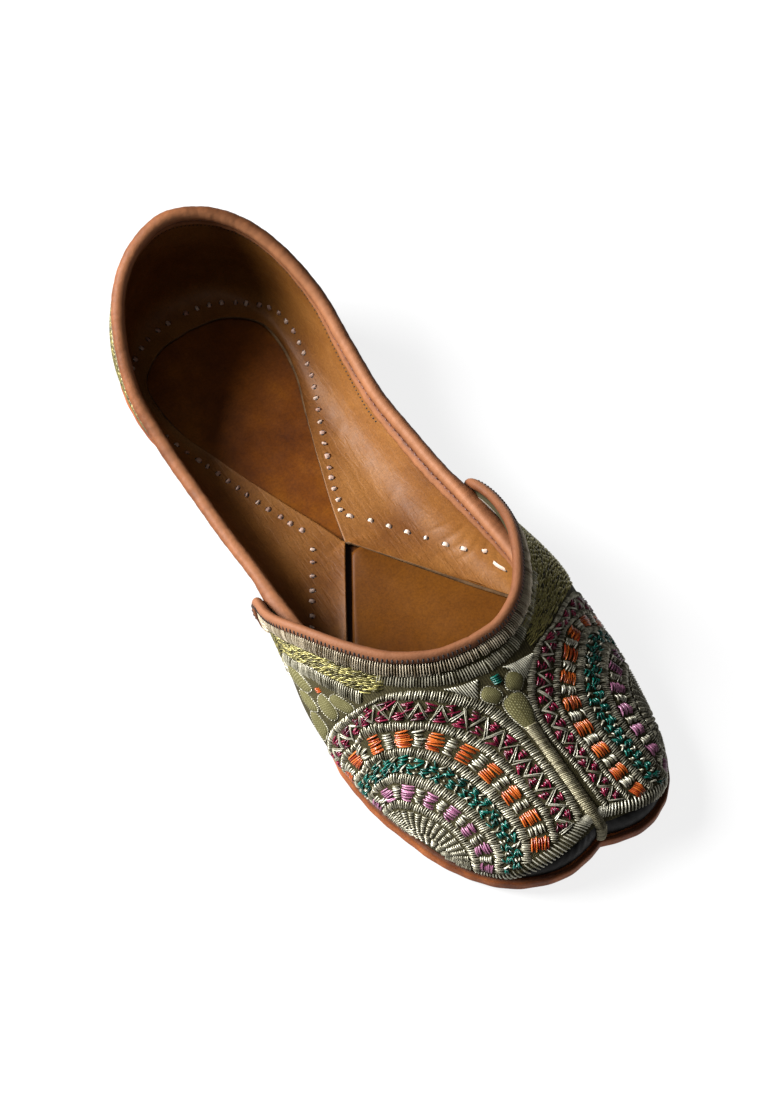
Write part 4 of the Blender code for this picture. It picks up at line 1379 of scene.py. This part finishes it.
# %% Sew the toe border
# the right's border threads have a higher shade: painted light where the lamp reaches less
BORDER_SHADE_WITH_PAINTED_LIGHT = {-1: 0.6, 1: 0.85}
BORDER_PITCH = 0.84
for side in (-1, 1):
    foot = np.arange(0.6, 41, BORDER_PITCH)
    broad = np.interp(foot, (0, 28, 41), (3.7, 3.4, 0.8))
    top = chart(foot, share_at_height(foot, vamp_hem(foot) + broad))
    drop = 1.5 * broad - 0.3 + CHANCE.normal(0, 0.1, len(foot))
    end = square_down(foot, top[:, 1], drop, over_toe=True)
    sew_vamp("pale", side, top, end, 0.56, 0.85, shades(len(foot), BORDER_SHADE_WITH_PAINTED_LIGHT[side], 0.35), lift=0.16)
print("toe border:", 2 * len(foot), "stitches")

# %% [markdown]
# ## Pads, leaves and the cord
# In the left corner beside the motif lie padded leaves of khaki cloth, outlined with thread. In the
# middle a trefoil hangs from the throat: two round pads and a teardrop, whose tail becomes the
# cord that runs to the notch. Every pad is a low dome, drawn as an outline and raised.

# %% Places near the crown and above the sole
crown_feet = np.linspace(VAMP_END, 0, 320)
CROWN_FAR = distances(vamp_place(crown_feet, 1.0))


def near_crown(across, along):
    """Foot and share of places given by millimetres from the crown line and from the throat."""
    across, along = np.broadcast_arrays(np.asarray(across, float), np.asarray(along, float))
    foot = np.interp(along, CROWN_FAR, crown_feet)
    shares_down = np.linspace(1, 0.5, 51)
    far = distances(vamp_place(foot[..., None], shares_down)).reshape(-1, len(shares_down))
    rows = [np.interp(wanted, row, shares_down) for wanted, row in zip(np.abs(across).ravel(), far)]
    return chart(foot, np.reshape(rows, foot.shape))


def crown_frame(across, along):
    """Places and outward directions near the crown line, left of it where across is below zero."""
    spot = near_crown(across, along)
    side = np.where(np.asarray(across) < 0, -1.0, 1.0) + 0 * spot[..., 0]
    right, right_away = vamp_frame(1, spot[..., 0], spot[..., 1])
    left, left_away = vamp_frame(-1, spot[..., 0], spot[..., 1])
    chosen = (side > 0)[..., None]
    return np.where(chosen, right, left), np.where(chosen, right_away, left_away)


rib_feet = np.arange(60, VAMP_END, 7.0)
rib_lengths = distances(vamp_place(rib_feet[:, None], np.linspace(0, 1, 41)))[:, -1]


def left_frame(foot, up):
    """Places on the left given by foot and millimetres up the cloth from the sole."""
    return vamp_frame(-1, foot, up / np.interp(foot, rib_feet, rib_lengths))


print("crown line:", round(float(CROWN_FAR[-1]), 1), "mm")


# %% Make the pads and outline them
PAD_PARTS = []


def spots_at(wanted, far, values):
    """Rows of values read at distances along a line."""
    return np.stack([np.interp(wanted, far, column) for column in values.T], axis=-1)


def pad(frame_at, base, tip, half, tall, bluntness=1.0):
    """A padded leaf from base to tip, with a thread round its edge."""
    base, tip = np.array(base, float), np.array(tip, float)
    run = tip - base
    aside = np.array((-run[1], run[0])) / np.linalg.norm(run)
    t = np.linspace(0, 1, 25)
    breadth = half * np.sin(np.pi * np.clip(t, 0.004, 0.996) ** bluntness) ** 0.7
    across = np.linspace(-1, 1, 15)
    flat = base + t[:, None, None] * run + (breadth[:, None] * across)[..., None] * aside
    place, away = frame_at(flat[..., 0], flat[..., 1])
    dome = tall * (1 - across**2) ** 0.5 * (np.sin(np.pi * np.clip(t, 0, 1)) ** 0.5)[:, None]
    PAD_PARTS.append(place + (0.05 + dome)[..., None] * MM * away)
    for edge in (0, -1):
        line = place[:, edge]
        far = distances(line)
        cuts = np.linspace(0, far[-1], max(int(far[-1] / MM / 0.75), 4))
        spots = spots_at(cuts, far, line)
        out = spots_at(cuts, far, away[:, edge])[:-1]
        sideways = unit(np.cross(out, spots[1:] - spots[:-1])) * 0.22 * MM
        shade = shades(len(out), 0.35, 0.25)
        sew("pale", spots[:-1] - sideways, spots[1:] + sideways, out, 0.4, 0.6, shade)


def dash(kind, frame_at, first, second, lift, width, height, shade):
    """One stitch between pairs of first and second coordinates of a frame."""
    ends, away = frame_at(np.array(first, float), np.array(second, float))
    ends = ends + lift * MM * away
    sew(kind, ends[0], ends[1], unit(away.mean(axis=0)), width, height, shade)


# base and tip by foot and height up the cloth, half breadth
LEAVES = (((132.4, 18.6), (126.6, 31.8), 5.2), ((124.4, 26.7), (116, 20.6), 4.4),
          ((124.7, 35.9), (112.3, 29), 3.3), ((124.8, 41.7), (115.2, 38.2), 3.5),
          ((115.5, 23.8), (105.2, 12.8), 4.0))
LEAF_HEIGHT = 0.9
# base and tip by distance from the crown line and from the throat, half breadth, height, bluntness
TREFOIL = (((-4.1, 12.8), (-4.1, 19.2), 3.0, 1.0, 1.0), ((4.4, 12.4), (4.4, 18.8), 3.5, 1.0, 1.0),
           ((0.9, 18.0), (-0.1, 32.0), 4.0, 1.2, 0.55))
for base, tip, half in LEAVES:
    pad(left_frame, base, tip, half, LEAF_HEIGHT)
for row in TREFOIL:
    pad(crown_frame, *row)
for along_dot in (11.0, 11.7, 12.4, 13.1):
    dash("teal", crown_frame, (-1.5, 1.5), (along_dot, along_dot), 0.3, 0.7, 1.2, 0.6)
for foot_dot in (125.6, 126.3, 127.0):
    dash("orange", left_frame, (foot_dot, foot_dot), (33.9, 36.1), 0.2, 0.7, 1.0, 0.4)
WOVEN_PAD_LOOK = woven("khaki_pad_cloth", (96, 91, 54), (172, 167, 122), 0.7, "DIAGONAL")
pad_corners = np.stack(PAD_PARTS)
pad_count, pad_long, pad_broad = pad_corners.shape[:3]
pad_faces = np.array(grid_faces(pad_long, pad_broad))
all_faces = [(pad_faces + index * pad_long * pad_broad).tolist() for index in range(pad_count)]
pad_map = np.meshgrid(np.linspace(0, 12, pad_long), np.linspace(0, 5, pad_broad), indexing="ij")
pad_map = np.broadcast_to(np.stack(pad_map, axis=-1), (pad_count, pad_long, pad_broad, 2))
pads_mesh = mesh_of("pads", pad_corners, sum(all_faces, []), uv=pad_map)
new_piece("leaf_pads", pads_mesh, [WOVEN_PAD_LOOK])

# %% Make the cord
CORD_START = 29.0
along = np.linspace(CORD_START, CROWN_FAR[-1] - 0.4, 40)
over_crown, _ = crown_frame(0 * along + 0.01, along)
drop_shares = np.linspace(0.95, float(share_at_height(np.array([0.0]), np.array([0.7]))[0]), 14)
over_notch, _ = vamp_frame(1, 0 * drop_shares + 0.4, drop_shares)
cord_line = np.concatenate([over_crown, over_notch])
ahead = unit(np.gradient(cord_line, axis=0))
sideways = unit(np.cross(ahead, np.broadcast_to((0.0, 0.0, 1.0), ahead.shape)))
sideways = np.where(np.abs(ahead[:, 2:]) > 0.95, (1.0, 0, 0), sideways) * np.sign(sideways[:, :1] + 1e-6)
sideways = unit(sideways)
cord_out = unit(np.cross(sideways, ahead))
cord_out = cord_out * np.where((cord_out[:, 2:] < 0), -1, 1)
cord_half = np.interp(np.arange(len(cord_line)), (0, 8, 40, 54), (2.0, 1.6, 1.75, 1.5))
turn = np.linspace(0, 2 * np.pi, 13)[:-1]
cord_rings = (cord_line[:, None] + MM * (cord_half[:, None] * np.cos(turn))[..., None] * sideways[:, None]
              + MM * (0.15 + 0.95 * np.sin(turn))[:, None] * cord_out[:, None])
CORD_LOOK = thread("pale_gold_thread", (98, 88, 60), (214, 205, 168), metal=0.35, gloss=0.38)
cord_mesh = loft("vamp_cord", cord_rings, {"shade": 0.35 + 0 * cord_rings[..., 0]})
new_piece("cord_core", cord_mesh, [CORD_LOOK], ["vamp_cord"])

# %% Wrap the cord
WRAP_PITCH = 0.56
cord_far = distances(cord_line) / MM
wraps = np.arange(0.2, cord_far[-1], WRAP_PITCH)
cord_frame = (cord_line, sideways, cord_out, ahead)
spots, reach, outs, going = (spots_at(wraps, cord_far, each) for each in cord_frame)
half = np.interp(wraps, cord_far, cord_half)[:, None] + 0.2
slant = CHANCE.normal(0.35, 0.15, (len(wraps), 1))
wrap_start = spots - MM * (half * reach + slant * going - 0.35 * outs)
wrap_end = spots + MM * (half * reach + slant * going + 0.35 * outs)
sew("wrap", wrap_start, wrap_end, unit(outs), 0.55, 1.35, shades(len(wraps), 0.55, 0.3))
print("cord:", round(float(cord_far[-1]), 1), "mm,", len(wraps), "wraps")

# %% Fill the silver triangles beside the trefoil
TRIANGLES = (((-14.4, 10.7), (-8.2, 15.8), (-4.7, 9.9)), ((4.1, 10.0), (16.2, 13.8), (8.2, 17.8)))


def fill_patch(corners, spacing=0.7):
    """Long parallel threads across a patch near the crown, one on each line along the shoe."""
    corners = np.array(corners, float)
    after = np.roll(corners, -1, axis=0)
    for x in np.arange(corners[:, 0].min() + 0.2, corners[:, 0].max(), spacing):
        crossing = (corners[:, 0] - x) * (after[:, 0] - x) < 0
        first, last = corners[crossing], after[crossing]
        slopes = (last[:, 1] - first[:, 1]) / (last[:, 0] - first[:, 0])
        cut = np.sort(first[:, 1] + (x - first[:, 0]) * slopes)
        shade = shades(1, 0.9, 0.25)
        dash("pale", crown_frame, (x - 0.2, x + 0.2), (cut[0], cut[-1]), 0.15, 0.5, 0.8, shade)


for corners in TRIANGLES:
    fill_patch(corners)
print("pads:", len(PAD_PARTS))

# %% [markdown]
# ## The quarters' outside
# Most of the quarters cannot be seen in the photograph. The sliver at the heel shows yellow-green
# chain stitch under the binding, so the whole wall is given rows of it, with a silver whip stitch
# above and a satin band at the sole. The rows follow the topline.

# %% Sew the quarters
WALL_FRONT = 150
WALL_PITCH = 0.72
WALL_WHIP = (0.9, 4.2)
SOLE_BAND = (3.8, 0.3)
HEEL_CHAIN = 2.7
HEEL_ROW = 1.22


def quarter_frame(side, foot, share):
    """Places and outward directions on the finished quarters."""
    here = on_last(quarter_place(foot, share), side)
    ahead = on_last(quarter_place(foot + 0.3, share), side)
    ahead = ahead - on_last(quarter_place(foot - 0.3, share), side)
    above = on_last(quarter_place(foot, share + 0.01), side) - here
    return here, unit(np.cross(ahead, above)) * side


def wall_height(foot):
    """How tall the quarters' wall is, from the sole to the binding."""
    return np.linalg.norm(quarter_place(foot, 1.0) - quarter_place(foot, 0.0), axis=-1)


def sew_quarter(kind, side, foot_a, drop_a, foot_b, drop_b, width, height, shade, lift=0.12):
    """Stitches on the quarters between places given by foot and millimetres below the wall's top."""
    foot = (foot_a + foot_b) / 2
    tall = wall_height(foot)
    kept = (drop_a < tall - 0.2) & (drop_b < tall + 0.2)
    _, away = quarter_frame(side, foot, 1 - np.minimum((drop_a + drop_b) / 2 / tall, 1))
    start = quarter_frame(side, foot_a, 1 - drop_a / tall)[0] + lift * MM * away
    end = quarter_frame(side, foot_b, 1 - np.minimum(drop_b / tall, 1))[0] + lift * MM * away
    shade = np.broadcast_to(shade, kept.shape)
    sew(kind, start[kept], end[kept], away[kept], width, height, shade[kept])


for side in (-1, 1):
    foot = np.arange(WALL_FRONT, HEEL_FOOT - 0.3, WALL_PITCH)
    jitter = CHANCE.normal(0, 0.12, len(foot))
    # the quarters' whip threads get a low shade: painted shade dimming them where the lamp shines straight
    # at the heel
    sew_quarter("whip", side, foot, WALL_WHIP[0] + 0 * foot, foot + 0.3, WALL_WHIP[1] + jitter, 0.5, 0.75,
                shades(len(foot), 0.1))
    tall = wall_height(foot)
    sew_quarter("silver", side, foot, tall - SOLE_BAND[0] + jitter, foot + 0.3, tall - SOLE_BAND[1], 0.54,
                0.75, shades(len(foot), 0.5))
    for row in range(32):
        foot = np.arange(WALL_FRONT + HEEL_CHAIN / 2 * (row % 2), HEEL_FOOT - 1.0, HEEL_CHAIN)
        drop = 4.9 + HEEL_ROW * row + CHANCE.normal(0, 0.08, len(foot))
        inside = drop < wall_height(foot) - 4.6
        foot, drop = foot[inside], drop[inside]
        slope = 0.34 * (-1) ** row
        sew_quarter("gold_back", side, foot - 1.4, drop - slope, foot + 1.4, drop + slope, 0.98, 0.9,
                    shades(len(foot), 0.5, 0.32))
print("stitches kept:", kept_counts())

# %% [markdown]
# ## Stitches inside
# Pinkish hand stitches hold the flaps to the insole. The rows run beside the spade-shaped window
# and behind the front edges. Each stitch is dropped on the lining with a ray from above. A finer
# seam lies in the topline's groove, and round the heel small needle marks follow under it. The
# needle holes and marks are near-black strips, painted shade in the holes.

# %% Sew the inside
lining_tree = BVHTree.FromObject(lining, bpy.context.evaluated_depsgraph_get())


def on_lining(flat, side):
    """Places on the lining's floor under flat places of the straight last."""
    above = on_last(point(flat[:, 0], flat[:, 1], 40.0), side)
    hits = [lining_tree.ray_cast(Vector(place), Vector((0, 0, -1))) for place in above]
    return np.array([hit[0] for hit in hits]), np.array([hit[1] for hit in hits])


def hand_row(line, pitch, side, long, width, shade, first):
    """Hand stitches along a line of flat places, with needle holes at their ends as dark strips of painted
    shade.
    """
    line = np.asarray(line, float)
    far = distances(line)
    middle = np.arange(first, far[-1], pitch)
    middle = middle + CHANCE.normal(0, 0.25, len(middle))
    half = long / 2 * (1 + CHANCE.normal(0, 0.12, len(middle)))
    near, beyond = spots_at(middle - half, far, line), spots_at(middle + half, far, line)
    start, away = on_lining(near + CHANCE.normal(0, 0.12, near.shape), side)
    end, _ = on_lining(beyond + CHANCE.normal(0, 0.12, near.shape), side)
    lift = 0.1 * MM * away
    sew("hand", start + lift, end + lift, away, width, 0.6, shades(len(middle), shade, 0.2))
    # needle holes: near-black strips of painted shade at both ends
    holes = unit(end - start) * 0.35 * MM
    for spot in (start + lift / 2, end + lift / 2):
        sew("slot", spot - holes, spot + holes, away, 0.8, 0.12, 0.5)


spade_shares = np.linspace(0.10, 1.0, 80)
spade_line = through(SPADE, spade_shares)
spade_ahead = unit(np.gradient(spade_line, axis=0))
spade_out = np.stack([spade_ahead[:, 1], -spade_ahead[:, 0]], axis=-1)
row_gap = np.interp(spade_shares, (0.1, 0.5, 0.75, 1), (3.6, 4.2, 5.0, 6.6))[:, None]
window_row = spade_line + row_gap * spade_out
left_arm = ((7.0, 16.0), (29.72, -16.92))
right_arm = ((6, 21), (12, 15), (18.2, 7.3), (22.7, 0.3), (25.9, -4.3), (29.8, -9.7), (32.8, -14.4),
             (34.2, -16.6))
right_end = ((34.3, -19.6), (35.2, -26.2))
# line, pitch, side, length along the line, width across it, shade, first stitch
HAND_ROWS = (
    (window_row, 4.2, 1, 1.2, 1.9, 0.45, 1.0),
    (window_row, 4.3, -1, 1.2, 1.9, 0.35, 1.0),
    (right_arm, 6.1, 1, 1.7, 1.5, 0.95, 3.6),
    (right_end, 9.0, 1, 6.0, 1.5, 0.95, 3.3),
    (left_arm, 5.0, -1, 1.1, 1.9, 0.5, 2.5))
for row in HAND_ROWS:
    hand_row(*row)
for side in (-1, 1):
    foot = np.arange(ARM_FOOT + 2, HEEL_FOOT - 0.5, 2.2)
    seam = [topline_frame(foot + shift) for shift in (-0.75, 0.75)]
    ends = [on_last(each[0] - 1.22 * each[2] - 2.55 * each[1], side) for each in seam]
    facing = on_last(seam[0][0] - 3 * seam[0][2], side) - on_last(seam[0][0], side)
    sew("seam", ends[0], ends[1], unit(facing), 0.4, 0.5, shades(len(foot), 0.5, 0.2))
    # needle marks: near-black strips of painted shade in the holes
    foot = np.arange(190, HEEL_FOOT - 0.5, 1.35)
    tall = wall_height(foot)
    high = on_last(quarter_place(foot - 0.15, 1 - 4.1 / tall, LINING_INSIDE + 0.02), side)
    low = on_last(quarter_place(foot + 0.25, 1 - 5.0 / tall, LINING_INSIDE + 0.02), side)
    inward = on_last(quarter_place(foot, 0.8, 4.0), side) - on_last(quarter_place(foot, 0.8), side)
    sew("mark", high, low, unit(inward), 0.42, 0.16, 0.5)
print("stitches kept:", kept_counts())

# %% Make every thread piece
# finish, then deep and light screen colours, metal, gloss
THREADS = (
    ("silver_thread", (92, 86, 62), (238, 232, 206), 0.45, 0.34),
    ("pale_silver_thread", (122, 116, 90), (242, 238, 216), 0.35, 0.34),
    # the whip thread is silver warmed toward tan: painted reflection of the leather binding beside it
    ("silver_thread_with_painted_reflection", (118, 98, 68), (246, 230, 200), 0.35, 0.36),
    ("gold_green_thread", (54, 48, 8), (214, 202, 122), 0.45, 0.32),
    # heel gold is the gold-green thread made darker: painted shade on the heel, which faces the lamp
    ("heel_gold_thread_painted_shade", (56, 50, 12), (168, 156, 86), 0.45, 0.36),
    ("ruby_thread", (58, 2, 22), (156, 20, 66), 0.0, 0.26),
    ("orange_thread", (140, 26, 4), (246, 130, 50), 0.0, 0.26),
    ("teal_thread", (2, 48, 40), (14, 126, 110), 0.0, 0.26),
    ("pink_thread", (120, 58, 92), (208, 140, 176), 0.0, 0.28),
    ("hand_thread", (150, 98, 80), (230, 206, 186), 0.0, 0.6),
    ("seam_thread", (66, 24, 14), (112, 48, 30), 0.0, 0.5),
    ("needle_hole_painted_shade", (22, 10, 5), (34, 16, 8), 0.0, 0.8))
# piece, stitches kept for it, finish, slot, sides of the thread
THREAD_PIECES = (
    ("silver_embroidery", "silver", "silver_thread", "embroidered_cloth", 4),
    ("pale_embroidery", "pale", "pale_silver_thread", "embroidered_cloth", 4),
    ("whip_stitches", "whip", "silver_thread_with_painted_reflection", "embroidered_cloth", 4),
    ("gold_embroidery", "gold", "gold_green_thread", "embroidered_cloth", 4),
    ("heel_embroidery", "gold_back", "heel_gold_thread_painted_shade", "embroidered_cloth", 4),
    ("ruby_knots", "ruby", "ruby_thread", "embroidered_cloth", 4),
    ("orange_blocks", "orange", "orange_thread", "embroidered_cloth", 4),
    ("teal_knots", "teal", "teal_thread", "embroidered_cloth", 4),
    ("pink_blocks", "pink", "pink_thread", "embroidered_cloth", 4),
    ("cord_wrapping", "wrap", "pale_gold_thread", "cord_thread", 4),
    ("hand_stitches", "hand", "hand_thread", "quarter_leather", 6),
    ("topline_seam", "seam", "seam_thread", "binding_leather", 4),
    ("needle_holes", "slot", "needle_hole_painted_shade", "binding_leather", 4),
    ("needle_marks", "mark", "needle_hole_painted_shade", "quarter_leather", 4))
thread_looks = {row[0]: thread(*row) for row in THREADS}
thread_looks["pale_gold_thread"] = CORD_LOOK
for name, kind, finish, slot, sides in THREAD_PIECES:
    sew_piece(name, kind, thread_looks[finish], sides)

# %% [markdown]
# ## Floor and light
# The shoe stands on a white sweep that glows a little itself, as a backlit studio table does, so
# its shadow stays pale. One soft lamp shines from behind the heel, on the left and not very high,
# so that the heel and the left wall keep their own shade inside. The room gives little light.

# %% Set the stage
floor_mesh = bpy.data.meshes.new("floor")
floor_mesh.from_pydata([(-3, -3, 0), (3, -3, 0), (3, 3, 0), (-3, 3, 0)], [], [(0, 1, 2, 3)])
floor = bpy.data.objects.new("floor", floor_mesh)
bpy.context.scene.collection.objects.link(floor)
floor_look = bpy.data.materials.new("white_sweep")
floor_look.use_nodes = True
floor_surface = floor_look.node_tree.nodes["Principled BSDF"]
floor_surface.inputs["Base Color"].default_value = (0.10, 0.10, 0.10, 1)
floor_surface.inputs["Roughness"].default_value = 0.9
floor_surface.inputs["Specular IOR Level"].default_value = 0.0
floor_surface.inputs["Emission Color"].default_value = (1, 1, 1, 1)
floor_surface.inputs["Emission Strength"].default_value = 0.84
floor_mesh.materials.append(floor_look)
floor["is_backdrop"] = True

studio = bpy.data.worlds.new("studio")
bpy.context.scene.world = studio
studio.use_nodes = True
studio.node_tree.nodes["Background"].inputs["Color"].default_value = (1.0, 0.98, 0.95, 1)
studio.node_tree.nodes["Background"].inputs["Strength"].default_value = 0.05


def soft_lamp(name, toward, distance, size, energy):
    """A square lamp that shines at the shoe from a direction."""
    data = bpy.data.lights.new(name, "AREA")
    data.energy = energy
    data.size = size
    lamp = bpy.data.objects.new(name, data)
    bpy.context.scene.collection.objects.link(lamp)
    place = Vector(toward).normalized() * distance
    lamp.matrix_world = Matrix.Translation(place) @ place.to_track_quat("Z", "Y").to_matrix().to_4x4()


soft_lamp("key", (-0.62, 0.54, 0.57), 1.3, 0.7, 92)
soft_lamp("fill", (-0.3, -0.2, 1.0), 1.6, 1.2, 4)
bpy.context.scene.view_settings.view_transform = "Standard"
print("stage set")

# %% Find the shoe's bounds
low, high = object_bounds()
